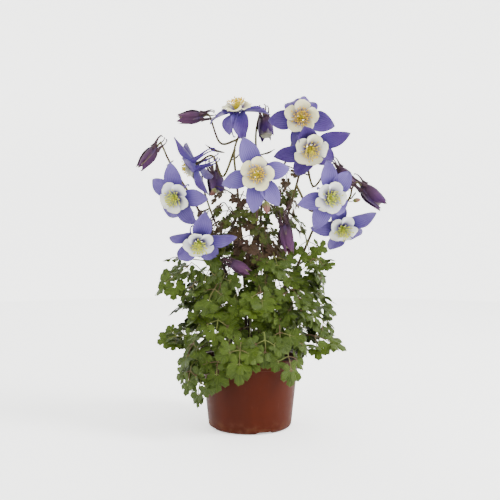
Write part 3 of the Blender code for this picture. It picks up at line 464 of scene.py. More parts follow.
def make_piece(name, parts, materials, slot, *nodes):
    """One object that holds the parts, rides on the frame, and stands for the named nodes."""
    offset, points, quads, triangles, traits, tones, kinds = 0, [], [], [], [], [], []
    for kind, group in enumerate(parts):
        for p, q, t, trait, tone in group:
            points.append(p)
            quads.append(q + offset)
            triangles.append(t + offset)
            traits.append(trait)
            tones.append(tone)
            kinds.append((kind, len(q), len(t)))
            offset += len(p)
    faces = np.vstack(quads).tolist() + np.vstack(triangles).tolist()
    mesh = bpy.data.meshes.new(name)
    mesh.from_pydata(np.vstack(points), [], faces)
    for material in materials:
        mesh.materials.append(material)
    index = np.concatenate(
        [np.full(q, kind) for kind, q, _ in kinds] + [np.full(t, kind) for kind, _, t in kinds]
    )
    mesh.polygons.foreach_set("material_index", index.astype(np.int32))
    trait = mesh.attributes.new("trait", "FLOAT_VECTOR", "POINT")
    trait.data.foreach_set("vector", np.vstack(traits).astype(np.float32).ravel())
    tone = mesh.attributes.new("tone", "FLOAT", "POINT")
    tone.data.foreach_set("value", np.concatenate(tones).astype(np.float32))
    mesh.shade_smooth()
    mesh.set_sharp_from_angle(angle=math.radians(CREASE_ANGLE))
    mesh.validate()
    piece = bpy.data.objects.new(name, mesh)
    bpy.context.scene.collection.objects.link(piece)
    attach(piece, BODY)
    if nodes:
        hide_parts(*nodes)
    return piece


def require_near(node, place):
    """Stops when a place in the tables isn't inside its part's own box."""
    low, high = (np.array(corner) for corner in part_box(node))
    place = np.asarray(place)
    if (place < low - PLACE_SLACK).any() or (place > high + PLACE_SLACK).any():
        raise RuntimeError(f"{node} isn't where the tables say: {place} is outside {low} to {high}")


# ---------------------------------------------------------------- materials


class Board:
    """A node tree with short calls for the few nodes that these materials use."""

    def __init__(self, tree):
        self.tree = tree

    def node(self, kind, **values):
        made = self.tree.nodes.new(kind)
        for key, value in values.items():
            setattr(made, key, value)
        return made

    def join(self, target, value):
        if isinstance(value, bpy.types.NodeSocket):
            self.tree.links.new(value, target)
        elif isinstance(value, (tuple, list)) and len(value) == 3 and target.type == "RGBA":
            target.default_value = (*value, 1)
        else:
            target.default_value = value

    def math(self, operation, *values):
        made = self.node("ShaderNodeMath", operation=operation)
        for target, value in zip(made.inputs, values):
            self.join(target, value)
        return made.outputs[0]

    def plus(self, first, second):
        return self.math("ADD", first, second)

    def minus(self, first, second):
        return self.math("SUBTRACT", first, second)

    def times(self, first, second):
        return self.math("MULTIPLY", first, second)

    def blend(self, share, first, second, way="MIX"):
        made = self.node("ShaderNodeMix", data_type="RGBA", blend_type=way)
        self.join(made.inputs[0], share)
        self.join(made.inputs[6], first)
        self.join(made.inputs[7], second)
        return made.outputs[2]

    def between(self, value, low, high, to_low=0.0, to_high=1.0):
        made = self.node("ShaderNodeMapRange", interpolation_type="SMOOTHSTEP")
        for target, given in zip(made.inputs, (value, low, high, to_low, to_high)):
            self.join(target, given)
        return made.outputs[0]

    def noise(self, scale, detail=3.0, stretch=None):
        place = self.node("ShaderNodeTexCoord").outputs["Object"]
        if stretch:
            mapping = self.node("ShaderNodeMapping")
            self.join(mapping.inputs["Vector"], place)
            mapping.inputs["Scale"].default_value = stretch
            place = mapping.outputs[0]
        made = self.node("ShaderNodeTexNoise")
        self.join(made.inputs["Vector"], place)
        self.join(made.inputs["Scale"], scale)
        made.inputs["Detail"].default_value = detail
        return made.outputs["Fac"]

    def height(self):
        """Height above the floor, since every piece stands at the origin."""
        parted = self.node("ShaderNodeSeparateXYZ")
        self.join(parted.inputs[0], self.node("ShaderNodeTexCoord").outputs["Object"])
        return parted.outputs[2]

    def trait(self):
        """(along, across, underside) of the blade or tube."""
        read = self.node("ShaderNodeAttribute", attribute_name="trait")
        parted = self.node("ShaderNodeSeparateXYZ")
        self.join(parted.inputs[0], read.outputs["Vector"])
        return parted.outputs

    def tone(self):
        return self.node("ShaderNodeAttribute", attribute_name="tone").outputs["Fac"]

    def group(self, tree, **values):
        made = self.node("ShaderNodeGroup", node_tree=tree)
        for key, value in values.items():
            self.join(made.inputs[key.replace("_", " ")], value)
        return made.outputs


def new_group(name, inputs, outputs):
    """(board, given inputs, outputs to join) of a new group of shared nodes."""
    tree = bpy.data.node_groups.new(name, "ShaderNodeTree")
    for key, default in inputs.items():
        made = tree.interface.new_socket(name=key, in_out="INPUT", socket_type="NodeSocketFloat")
        made.default_value = default
    for key in outputs:
        tree.interface.new_socket(name=key, in_out="OUTPUT", socket_type="NodeSocketFloat")
    board = Board(tree)
    return board, board.node("NodeGroupInput").outputs, board.node("NodeGroupOutput").inputs


def ribs_group():
    """Fine veins that run the length of a blade and fan out with its width: a ridge at each whole
    number of across * count, sharpened by a power."""
    board, given, out = new_group("running veins", {"Along": 0, "Across": 0, "Count": 5}, ("Veins",))
    wobble = board.times(board.minus(board.noise(260, 2), 0.5), 0.35)
    fan = board.times(given["Across"], given["Count"])
    wave = board.math("PINGPONG", board.plus(fan, wobble), 0.5)
    ridge = board.math("POWER", board.minus(1.0, board.times(wave, 2.0)), 5.0)
    board.join(out["Veins"], board.times(ridge, board.between(given["Along"], 1.0, 0.75)))
    return board.tree


def palm_group():
    """A leaflet's veins: one to the middle of each lobe, and one to each tooth, thinner, that fades in
    between a quarter and half of the way out."""
    board, given, out = new_group("palm veins", {"Along": 0, "Across": 0}, ("Veins", "Quilting"))
    ray = board.times(given["Across"], LEAFLET_OPEN / LOBE_TURN)
    main = board.times(board.math("PINGPONG", ray, 0.5), given["Along"])
    fine = board.times(board.math("PINGPONG", board.times(ray, 3.0), 0.5), given["Along"])
    trunk = board.between(main, 0.035, 0.008)
    twig = board.times(board.between(fine, 0.09, 0.03), board.between(given["Along"], 0.25, 0.5))
    board.join(out["Veins"], board.math("MAXIMUM", trunk, board.times(twig, 0.6)))
    board.join(out["Quilting"], board.between(fine, 0.0, 0.35))
    return board.tree


def mottle_group():
    """Broad and fine unevenness in one mask, from two sizes of noise."""
    board, given, out = new_group("mottling", {"Broad": 40, "Fine": 400, "Contrast": 0.5}, ("Mask",))
    broad = board.between(board.noise(given["Broad"], 3), 0.3, 0.7)
    fine = board.between(board.noise(given["Fine"], 3), 0.3, 0.7)
    mixed = board.plus(board.times(broad, 0.65), board.times(fine, 0.35))
    centred = board.times(board.minus(mixed, 0.5), given["Contrast"])
    board.join(out["Mask"], board.plus(centred, 0.5))
    return board.tree


def shared_groups():
    """The shared effects, made once."""
    made = {}
    for name, build in (
        ("running veins", ribs_group), ("palm veins", palm_group), ("mottling", mottle_group)
    ):
        made[name] = bpy.data.node_groups.get(name) or build()
    return made


def finish(name, roughness, specular, sheen=0.0):
    """A new material and its board, with what is even all over it set on the shader."""
    material = bpy.data.materials.new(name)
    material.use_nodes = True
    board = Board(material.node_tree)
    shader = material.node_tree.nodes["Principled BSDF"]
    shader.inputs["Roughness"].default_value = roughness
    shader.inputs["Sheen Weight"].default_value = sheen
    shader.inputs["Specular IOR Level"].default_value = specular
    return material, board, shader


def relief(board, shader, height, depth):
    """Bumps from a height of 0 to 1, that deep in metres."""
    bump = board.node("ShaderNodeBump")
    bump.inputs["Strength"].default_value = 1.0
    bump.inputs["Distance"].default_value = depth
    board.join(bump.inputs["Height"], height)
    board.join(shader.inputs["Normal"], bump.outputs[0])


def leaf_material(name, deep, bright, vein, underside, flush):
    """Soft leaf: deep and bright green by tone and mottling, paler veins, a flushed margin, a grey back."""
    material, board, shader = finish(name, 0.56, specular=0.12)
    shared = shared_groups()
    along, across, under = board.trait()
    veins = board.group(shared["palm veins"], Along=along, Across=across)
    mottle = board.group(shared["mottling"], Broad=70.0, Fine=600.0, Contrast=0.9)["Mask"]
    share = board.plus(board.times(mottle, 0.6), board.times(board.tone(), 0.7))
    green = board.blend(board.between(share, 0.25, 1.0), deep, bright)
    green = board.blend(board.times(board.between(along, 0.86, 1.0), 0.35), green, flush)
    green = board.blend(board.times(veins["Veins"], 0.42), green, vein)
    colour = board.blend(board.times(under, 0.55), green, underside)
    board.join(shader.inputs["Base Color"], colour)
    board.join(shader.inputs["Roughness"], board.between(mottle, 0.0, 1.0, 0.48, 0.66))
    height = board.minus(board.times(veins["Quilting"], 0.7), veins["Veins"])
    relief(board, shader, board.plus(height, board.times(mottle, 0.5)), 0.00022)
    return material


def petal_material(name, pale, rich, base, tip, underside, veins, rough):
    """Soft petal skin: pale to rich by tone, running veins, another colour at the base and the tip."""
    material, board, shader = finish(name, rough, sheen=0.02, specular=0.14)
    shared = shared_groups()
    along, across, under = board.trait()
    mottle = board.group(shared["mottling"], Broad=90.0, Fine=900.0, Contrast=0.7)["Mask"]
    lines = board.group(shared["running veins"], Along=along, Across=across, Count=veins)["Veins"]
    share = board.plus(board.tone(), board.times(board.minus(mottle, 0.5), 0.5))
    colour = board.blend(board.between(share, -0.1, 1.1), pale, rich)
    colour = board.blend(board.between(along, 0.68, 0.16), colour, base)
    colour = board.blend(board.times(board.between(along, 0.88, 1.0), 0.6), colour, tip)
    shade = board.blend(1.0, colour, rich, way="MULTIPLY")
    colour = board.blend(board.times(lines, 0.55), colour, shade)
    pale_back = board.times(under, board.between(board.tone(), 0.0, 1.0, 0.45, 0.08))
    colour = board.blend(pale_back, colour, underside)
    board.join(shader.inputs["Base Color"], colour)
    board.join(shader.inputs["Roughness"], board.between(mottle, 0.0, 1.0, rough - 0.08, rough + 0.08))
    height = board.plus(board.times(lines, 0.8), board.times(mottle, 0.5))
    relief(board, shader, height, 0.00012)
    return material


def stem_material(name, low, high, blush, rough=0.6):
    """Downy stalk: one colour below and one above, streaked lengthwise and blushed in patches."""
    material, board, shader = finish(name, rough, sheen=0.02, specular=0.15)
    height = board.height()
    streak = board.noise(900, 3, stretch=(1, 1, 0.12))
    colour = board.blend(board.between(height, 0.10, 0.26), low, high)
    colour = board.blend(board.between(board.noise(60, 2), 0.42, 0.62), colour, blush)
    shade = board.blend(1.0, colour, (0.45, 0.42, 0.40), way="MULTIPLY")
    colour = board.blend(board.times(board.between(streak, 0.45, 0.7), 0.6), colour, shade)
    board.join(shader.inputs["Base Color"], colour)
    relief(board, shader, streak, 0.00015)
    return material


def stamen_material():
    """Threads (tone 0 to 0.4) and powdery anthers (tone 0.6 to 1), from pale green-yellow to gold."""
    material, board, shader = finish("stamen yellow", 0.7, specular=0.2)
    grain = board.between(board.noise(2500, 2), 0.35, 0.65)
    gold = board.between(board.tone(), 0.6, 1.0)
    anther = board.blend(gold, (0.42, 0.44, 0.04), (0.60, 0.38, 0.004))
    anther = board.blend(
        board.times(grain, 0.5), anther, board.blend(gold, (0.24, 0.26, 0.02), (0.36, 0.21, 0.002))
    )
    rich = board.between(board.tone(), 0.0, 0.4)
    thread = board.blend(rich, (0.30, 0.38, 0.05), (0.52, 0.40, 0.02))
    colour = board.blend(board.between(board.tone(), 0.45, 0.55), thread, anther)
    board.join(shader.inputs["Base Color"], colour)
    relief(board, shader, grain, 0.0001)
    return material


def pot_material(settings):
    """Satin moulded plastic: even terracotta colour with faint flow marks, scuffs and dust near the foot."""
    material, board, shader = finish("moulded terracotta plastic", 0.48, specular=0.07)
    shared = shared_groups()
    height = board.height()
    base = tuple(settings.colour)
    flow = board.noise(26, 4, stretch=(1, 1, 0.35))
    mottle = board.group(shared["mottling"], Broad=18.0, Fine=260.0, Contrast=0.8)["Mask"]
    colour = board.blend(board.between(flow, 0.35, 0.68), tuple(c * 0.80 for c in base), base)
    colour = board.blend(board.times(mottle, 0.22), colour, tuple(min(1, c * 1.35) for c in base))
    dusty = board.times(board.between(height, 0.016, 0.0), board.between(board.noise(120, 4), 0.4, 0.7))
    colour = board.blend(board.times(dusty, 0.35), colour, (0.11, 0.06, 0.035))
    scuff = board.between(board.noise(420, 3, stretch=(1, 1, 0.08)), 0.66, 0.74)
    colour = board.blend(board.times(scuff, 0.05), colour, (0.20, 0.08, 0.05))
    board.join(shader.inputs["Base Color"], colour)
    rough = board.plus(board.between(mottle, 0.0, 1.0, 0.42, 0.56), board.times(dusty, 0.3))
    board.join(shader.inputs["Roughness"], rough)
    relief(board, shader, board.plus(board.noise(900, 2), board.times(scuff, 0.3)), 0.00006)
    return material


def soil_material():
    """Dark moist peat with lighter fibres and grit."""
    material, board, shader = finish("peat compost", 0.92, specular=0.2)
    clod = board.noise(420, 5)
    colour = board.blend(board.between(clod, 0.35, 0.65), (0.010, 0.007, 0.005), (0.045, 0.028, 0.017))
    fibre = board.between(board.noise(1500, 2, stretch=(1, 0.2, 1)), 0.66, 0.74)
    colour = board.blend(board.times(fibre, 0.6), colour, (0.16, 0.10, 0.055))
    board.join(shader.inputs["Base Color"], colour)
    relief(board, shader, clod, 0.0009)
    return material


def plain_surface(name, colour, glow):
    """Matte stage paper with the faintest unevenness."""
    material, board, shader = finish(name, 0.9, specular=0.1)
    shader.inputs["Emission Color"].default_value = (*colour, 1)
    shader.inputs["Emission Strength"].default_value = glow
    faint = board.times(board.noise(3, 2), 0.04)
    board.join(shader.inputs["Base Color"], board.blend(faint, colour, tuple(c * 0.8 for c in colour)))
    return material


# ---------------------------------------------------------------- plant parts


def leaflet(base, ahead, upward, radius, rng, tone):
    """One leaflet as a fan from its stalk. Its reach at an angle is a half-round lobe about each of
    three rays 72 degrees apart, times scallops |cos(3 pi x)| that give each lobe three teeth, and its
    height droops with the square of the reach and ripples between the veins."""
    aside = np.cross(ahead, upward)
    u = np.array((0.05, 0.58, 1.0))[:, None]
    end = LEAFLET_OPEN / LOBE_TURN
    ray = np.concatenate(([-end], np.arange(-9, 10) / 6, [end]))[None]
    s = ray / end
    angle = np.radians(LOBE_TURN) * ray
    apart = np.abs(ray - np.clip(np.round(ray), -1, 1))
    lobe = np.sqrt(np.clip(1 - (apart / 0.5) ** 2, 0, 1))
    reach = np.where(apart > 0.5, LOBE_GAP * (1.5 - apart), LOBE_GAP + (1 - LOBE_GAP) * lobe)
    reach = reach * (1 - TOOTH_DEPTH + TOOTH_DEPTH * np.abs(np.cos(3 * np.pi * ray)) ** 0.6)
    uneven = 1 + 0.08 * np.sin(2.3 * angle + rng.uniform(0, 6))
    reach = reach * uneven * (1 - 0.10 * np.clip(np.abs(ray), 0, 1))
    distance = u * reach * radius
    ripple = 0.05 * np.cos(ROUND * ray) + 0.07 * np.sin(2 * angle + rng.uniform(0, 6))
    cup = rng.uniform(-0.30, 0.02)
    fold = rng.uniform(0.0, 0.16)
    height = radius * (u**2 * (ripple + cup * reach**2) + fold * u * np.abs(np.sin(angle)) * reach)
    spread = np.cos(angle)[..., None] * ahead + np.sin(angle)[..., None] * aside
    sheet = base + distance[..., None] * spread + height[..., None] * upward
    return shell(sheet, u, s, tone)


def stalk(path, thick, thin, tone, sides=7):
    """A tube along a path, that thins evenly."""
    stations = np.linspace(0, 1, max(4, min(26, len(path))))
    return tube(path, stations, thick + (thin - thick) * stations, sides, tone)


def leaf_parts(knots, hub, azimuth, elevation, bank, size, settings, rng, tone, open_share=1.0):
    """(blades, stalks) of one leaf: three stalked groups part at the hub, each of three lobed leaflets."""
    hub = np.asarray(hub, float)
    ahead = direction(azimuth, elevation)
    upward = turned(unit(np.array((0, 0, 1.0)) - ahead * ahead[2]), ahead, bank)
    neck = hub - ahead * 0.010 * size - upward * 0.002
    stalks = [stalk(smooth_curve([*knots, neck, hub], 6), 0.0008, 0.0005, tone)]
    blades = []
    for side, share in ((-1, LEAFLET_SIDE_SIZE), (0, 1.0), (1, LEAFLET_SIDE_SIZE)):
        turn = side * (LEAFLET_SIDE_TURN + rng.uniform(-8, 8)) * -1
        out = turned(ahead, upward, turn)
        dip = turned(out, unit(np.cross(out, upward)), rng.uniform(-16, 6))
        base = hub + dip * settings.stalk * open_share * size * share * rng.uniform(0.8, 1.2)
        stalks.append(
            stalk(smooth_curve([hub, (hub + base) / 2 + upward * 0.0008, base], 4), 0.0005, 0.0004, tone, 6)
        )
        over = unit(upward - dip * (upward @ dip))
        over = turned(over, dip, rng.uniform(-14, 14))
        for wing in (-1, 0, 1):
            way = turned(dip, over, wing * rng.uniform(52, 80))
            way = turned(way, unit(np.cross(way, over)), rng.uniform(-26, 14))
            wing_size = 1.0 if wing == 0 else 0.84
            small = settings.leaflet / open_share * size * share * wing_size * rng.uniform(0.85, 1.12)
            foot = base + way * small * (0.42 if wing == 0 else 0.20)
            stalks.append(stalk(np.linspace(base, foot + way * small * 0.12, 4), 0.0004, 0.0003, tone, 5))
            top = turned(unit(over - way * (over @ way)), way, rng.uniform(-30, 30))
            blades.append(
                leaflet(foot, way, top, small, rng, np.clip(tone + rng.uniform(-0.18, 0.18), 0, 1))
            )
    return blades, stalks


def rosette_knots(foot_turn, hub):
    """Where a basal leaf's stalk starts beside the crown, and the point that it first rises through."""
    out = direction(foot_turn, 0)
    reach = CROWN_RADIUS + 0.0035
    foot = out * reach + (0, 0, SOIL_EDGE - 0.0005)
    away = math.hypot(hub[0], hub[1])
    height = max(hub[2], POT_HEIGHT) * 0.62 + 0.029
    return [foot, out * (reach + 0.30 * (away - reach)) + (0, 0, height)]


def ends_of(target):
    """The last two points of a stalk that carries this flower or bud."""
    kind, number = target.split()
    rows = FLOWERS if kind == "flower" else BUDS
    row = next(row for row in rows if row[0] == int(number))
    facing = direction(row[2], row[3])
    neck = 0.020 * row[5] if kind == "flower" else 0.006
    at = np.asarray(row[1]) - facing * 0.0004
    return [at - facing * neck, at]


def stem_routes():
    """Every stem's main axis and branches as (number, path, radius at its foot, radius at its end)."""
    routes = []
    for number, foot_turn, via, target, branches in STEMS:
        foot = direction(foot_turn, 0) * 0.0070 + (0, 0, CROWN_TOP - 0.004)
        knots = [foot, *via, *ends_of(target)]
        axis = smooth_curve(knots, 3)
        routes.append((number, smooth_curve(knots, 8), *AXIS_RADII))
        for share, points, carried in branches:
            place = share * (len(axis) - 1)
            i = min(int(place), len(axis) - 2)
            start = axis[i] + (axis[i + 1] - axis[i]) * (place - i)
            routes.append((number, smooth_curve([start, *points, *ends_of(carried)], 8), *BRANCH_RADII))
    return routes


def nearest_stem(place):
    """The nearest point on any stem that is a little lower than a place."""
    points = np.vstack([path for _, path, _, _ in stem_routes()])
    gap = np.linalg.norm(points - place, axis=1) + np.where(points[:, 2] > place[2] - 0.004, 0.08, 0)
    return points[gap.argmin()]


def stem_knots(hub):
    """Where a stem leaf's stalk leaves the nearest stem, and the point that it first passes through."""
    start = nearest_stem(hub)
    return [start, start * 0.6 + hub * 0.4 + (0, 0, 0.002)]


def spur(origin, axes, size, tone, rng, length, mouth, out_at):
    """A hollow spur: a funnel at the petal's throat that narrows to a hooked, knobbed end."""
    sway = rng.uniform(-0.0016, 0.0016)
    line = np.array((
        (out_at, 0, 0.0018), (out_at * 1.04, 0, -0.003), (out_at * 1.12, sway / 3, -0.32 * length),
        (out_at * 1.30, sway, -0.62 * length), (out_at * 1.28, sway, -0.86 * length),
        (out_at * 1.00, sway / 2, -1.00 * length), (out_at * 0.86, 0, -0.97 * length),
    )) * size
    path = smooth_curve(line @ axes + origin, 5)
    stations = (0.30, 0.10, 0.0, 0.0, 0.04, 0.10, 0.18, 0.32, 0.50, 0.70, 0.86, 0.94, 0.98, 1.0)
    girth = (0.10, 0.62, 0.94, 1.0, 0.92, 0.76, 0.58, 0.42, 0.32, 0.25, 0.20, 0.27, 0.30, 0.16)
    p, q, t, trait, tones = tube(path, stations, np.array(girth) * mouth * size, 12, tone)
    trait[:, 0] = 0.02 * (1 - trait[:, 0])
    return p, q, t, trait, tones


def corolla(origin, axes, size, settings, pallor, rng):
    """(petals, spurs): five cupped petals, rounded and notched, around the throat, each with its spur."""
    petals, spurs = [], []
    radius = settings.corolla * size
    for k in range(5):
        own = spun(axes, 72 * k + 36 + rng.uniform(-3, 3))
        start = rng.uniform(40, 54)
        share, out, up = arc_line(radius * 0.80, start, rng.uniform(38, 62), 12)
        half = settings.petal_width / 2 * size * rng.uniform(0.88, 1.00) * np.interp(
            share, (0, 0.2, 0.45, 0.72, 0.90, 1.0), (0.32, 0.52, 0.74, 0.86, 0.80, 0.56)
        )
        bow = np.interp(share, (0, 0.4, 0.8, 1), (0.95, 0.62, 0.34, 0.10))[:, None]
        lean = banked(own, PETAL_TWIST)
        root = origin + own[0] * radius * 0.25 + own[2] * 0.0012 * size
        pale = np.clip(pallor + rng.uniform(-0.2, 0.2), 0, 1)
        petals.append(blade(root, lean, out, up, half, bow, 15, PETAL_WAVE * size, pale, trim=0.26))
        spurs.append(spur(origin, own, size, 0.5, rng, settings.spur, SPUR_MOUTH, SPUR_OUT))
    return petals, spurs


def calyx(origin, axes, size, settings, tone, sepals, rng):
    """Five sepals on narrow claws, each swung, stretched and curled on its own."""
    made = []
    for k, (swing, stretch, curl) in enumerate(sepals):
        own = spun(axes, -72 * k - swing)
        length = settings.sepal * size * stretch
        share, out, up = arc_line(length - 0.0012, 5 + rng.uniform(-3, 3), curl, 15)
        t = np.clip((share - 0.10) / 0.90, 0, 1)
        body = np.sin(np.pi * t**0.86) ** 0.72
        shape = np.maximum(0.14 - 0.10 * t, body)
        half = settings.sepal_width / 2 * size * rng.uniform(0.96, 1.10) * shape
        bow = (0.30 + 0.25 * rng.uniform(-1, 1)) * np.ones((15, 1))
        lean = banked(own, rng.uniform(-14, 14))
        root = origin + own[0] * 0.0012 - own[2] * 0.0002
        shade = np.clip(tone + rng.uniform(-0.12, 0.12), 0, 1)
        made.append(blade(root, lean, out, up, half, bow, 11, SEPAL_WAVE, shade))
    return made


def stamens(origin, axes, size, settings, gold, rng):
    """Threads that rise from the middle and spread, each with a small anther, around five green styles."""
    made = []
    for i in range(settings.stamens):
        own = spun(axes, i * GOLDEN_TURN)
        spread = math.sqrt((i + 0.5) / settings.stamens)
        tall = settings.stamen * size * (1.04 - 0.30 * spread) * rng.uniform(0.86, 1.10)
        foot = 0.0004 + 0.0008 * spread
        reach = 0.0088 * size * spread * rng.uniform(0.75, 1.2)
        line = np.array((
            (foot, 0, 0.0006), (foot + reach * 0.22, 0, tall * 0.45), (reach * 0.70, 0, tall * 0.82),
            (reach, 0, tall),
        ))
        path = smooth_curve(line @ own + origin, 2)
        made.append(tube(path, (0, 0.5, 1), (0.00024, 0.00020, 0.00017), 4, gold * 0.4))
        tip, along = path[-1], unit(path[-1] - path[-2])
        along = unit(along + own[1] * rng.uniform(-0.8, 0.8))
        ends = np.array((tip - along * 0.0010, tip + along * 0.0013))
        made.append(tube(ends, (0, 0.3, 0.7, 1), (0.00024, 0.00064, 0.00060, 0.00020), 5, 0.6 + gold * 0.4))
    for i in range(5):
        own = spun(axes, 72 * i)
        line = np.array(
            ((0.0004, 0, 0.0006), (0.0008, 0, 0.5), (0.0010, 0, 1.02))
        ) * (1, 1, settings.stamen * size)
        line[0, 2] = 0.0006
        made.append(
            tube(smooth_curve(line @ own + origin, 2), (0, 0.5, 1), (0.0005, 0.0004, 0.0002), 5, 0.2)
        )
    return made


def bud_parts(place, azimuth, elevation, size, opening, tone, settings, rng):
    """(skins, core, spurs) of a nodding bud: five pointed sepals folded round a fluted core of petals."""
    origin, axes = facing_frame(place, azimuth, elevation, 36)
    length = settings.bud * size
    wide = settings.bud_width / 2 * size * (1 + 0.45 * opening)
    skins, spurs = [], []
    share = np.linspace(0, 1, 13)
    hug = np.interp(
        share, (0, 0.06, 0.22, 0.45, 0.70, 0.88, 1.0), (0.20, 0.55, 0.95, 1.04, 0.78, 0.42, 0.14)
    )
    for k in range(5):
        own = spun(axes, 72 * k)
        flare = 0.16 + opening * rng.uniform(0.7, 1.5)
        out = wide * (0.86 * hug + flare * share**2.6)
        up = length * share * (1 - 0.10 * opening * share * rng.uniform(0, 1)) * rng.uniform(0.97, 1.05)
        half = wide * 0.96 * np.interp(
            share, (0, 0.08, 0.28, 0.5, 0.72, 0.9, 1.0), (0.22, 0.50, 0.90, 0.92, 0.60, 0.24, 0.05)
        )
        tilt = rng.uniform(8, 26)
        lean = banked(own, tilt, 0.3 * tilt)
        shade = np.clip(tone + rng.uniform(-0.2, 0.2), 0, 1)
        skins.append(blade(origin, lean, out, up, half, 0.34, 9, BUD_WAVE, shade))
        throat, between = origin + axes[2] * 0.001, spun(axes, 72 * k + 36)
        mouth, out_at = wide / size * 0.36, wide / size * 0.62
        spurs.append(spur(throat, between, size, tone, rng, settings.bud_spur, mouth, out_at))
    ends = np.array((origin + axes[2] * 0.0004, origin + axes[2] * length * (0.80 + 0.12 * opening)))
    girth = np.array(
        (0.30, 0.66, 0.86, 0.90, 0.82, 0.66 + 0.30 * opening, 0.36 + 0.52 * opening, 0.16)
    ) * wide
    core = [tube(ends, (0, 0.10, 0.28, 0.48, 0.68, 0.88, 0.98, 1.0), girth, 30, tone, lobes=0.10)]
    return skins, core, spurs


# ---------------------------------------------------------------- the pot


def outside_radius(height):
    """The tapered wall's outer radius at a height."""
    under_band = POT_RIM_RADIUS - RIM_FLARE - RIM_LEDGE
    return POT_FOOT_RADIUS + (under_band - POT_FOOT_RADIUS) * height / (POT_HEIGHT - RIM_BAND)


def pot_profile():
    """(radius, height) pairs from the middle of the underside, out, up, over the rim and back inside."""
    turn = np.radians(np.linspace(0, 90, 7))
    corner = np.stack(
        (outside_radius(POT_CORNER) - POT_CORNER * (1 - np.sin(turn)), POT_CORNER * (1 - np.cos(turn))), -1
    )
    foot_inside = corner[0, 0] - FOOT_WIDTH
    band = POT_HEIGHT - RIM_BAND
    band_radius = POT_RIM_RADIUS - RIM_FLARE
    floor_top = FLOOR_RISE + POT_WALL
    wall = [(outside_radius(z), z) for z in np.linspace(POT_CORNER * 1.3, band - 0.0006, 9)]
    ledge = [(outside_radius(band) + 0.0001, band - 0.0002), (band_radius + 0.0001, band + 0.0001),
             (band_radius + 0.0006, band + 0.0006), (band_radius + 0.0005, band + 0.0013)]
    flare = POT_RIM_RADIUS - band_radius - 0.0006
    face = [
        (band_radius + 0.0004 + flare * s, band + 0.0013 + (RIM_BAND - 0.0030) * s)
        for s in (0.15, 0.4, 0.7, 1.0)
    ]
    lip = [(POT_RIM_RADIUS - 0.0007 + 0.0008 * math.cos(a), POT_HEIGHT - 0.0009 + 0.0009 * math.sin(a))
           for a in np.radians((-30, 0, 30, 60, 90, 120, 150, 180))]
    inner = [
        (outside_radius(z) - POT_WALL, z)
        for z in np.linspace(POT_HEIGHT - 0.0016, POT_CORNER + floor_top, 8)
    ]
    return [
        (0, 0), (PAD_RADIUS * 0.5, 0), (PAD_RADIUS, 0), (PAD_RADIUS + FLOOR_RISE, FLOOR_RISE),
        (DRAIN_HOLE_OUT, FLOOR_RISE), (foot_inside - FLOOR_RISE, FLOOR_RISE), (foot_inside, 0), *corner,
        *wall, *ledge, *face, *lip, *inner,
        (outside_radius(0) - POT_WALL - POT_CORNER / 2, floor_top),
        (DRAIN_HOLE_OUT, floor_top), (0, floor_top),
    ]


def notch_rise(radius, height, angle):
    """Raises the foot over four notches: the height that is missing under a smooth arch in angle."""
    arch = 0
    for turn in NOTCH_TURNS:
        centre = math.radians(turn - 90)
        apart = np.abs((angle - centre + math.pi) % ROUND - math.pi)
        arch = arch + np.clip((math.radians(NOTCH_HALF_ANGLE) - apart) / math.radians(2.5), 0, 1)
    missing = np.clip(NOTCH_HEIGHT - height, 0, None)
    return missing * arch * (radius > outside_radius(0) - 0.012)


# ---------------------------------------------------------------- settings and operators


def length_setting(name, description, default):
    """A length setting, shown in the scene's units."""
    return FloatProperty(name=name, description=description, unit="LENGTH", default=default, precision=4)


def colour_setting(name, description, default):
    """A colour setting."""
    return FloatVectorProperty(
        name=name, description=description, subtype="COLOR", size=3, min=0, max=1, default=default
    )


class PotSettings(bpy.types.PropertyGroup):
    """The moulded pot and its compost"""

    colour: colour_setting("Plastic", "Base colour of the moulded pot", (0.0345, 0.0046, 0.0006))
    sides: IntProperty(name="Sides", description="Facets around the pot", default=144, min=36)
    crumbs: IntProperty(name="Crumbs", description="Loose crumbs on the compost", default=420, min=0)


class LeafSettings(bpy.types.PropertyGroup):
    """Every leaf"""

    leaflet: length_setting("Leaflet", "Reach of a middle leaflet at size 1", 0.0142)
    stalk: length_setting("Group stalk", "Stalk of the middle group of leaflets at size 1", 0.0125)
    deep: colour_setting("Deep green", "Colour of the darker leaves", (0.0036, 0.0088, 0.0002))
    bright: colour_setting("Bright green", "Colour of the brighter leaves", (0.0275, 0.0455, 0.0003))


class FlowerSettings(bpy.types.PropertyGroup):
    """Open flowers and buds"""

    sepal: length_setting("Sepal", "Length of a sepal", 0.0350)
    sepal_width: length_setting("Sepal width", "Width of a sepal", 0.0178)
    corolla: length_setting("Corolla", "Radius of the cup of petals", 0.0165)
    petal_width: length_setting("Petal width", "Width of a petal", 0.0188)
    spur: length_setting("Spur", "Length of a spur", 0.0255)
    stamen: length_setting("Stamen", "Height of the tuft of stamens", 0.0150)
    stamens: IntProperty(name="Stamens", description="Stamens in a tuft", default=44, min=5)
    bud: length_setting("Bud", "Length of a bud", 0.0250)
    bud_width: length_setting("Bud width", "Width of a closed bud", 0.0100)
    bud_spur: length_setting("Bud spur", "Length of a bud's spurs", 0.0115)
    lavender: colour_setting("Lavender", "Colour of the paler sepals", (0.084, 0.061, 0.200))
    violet: colour_setting("Violet", "Colour of the deeper sepals", (0.032, 0.010, 0.098))
    cream: colour_setting("Cream", "Colour of the petals", (0.560, 0.530, 0.300))


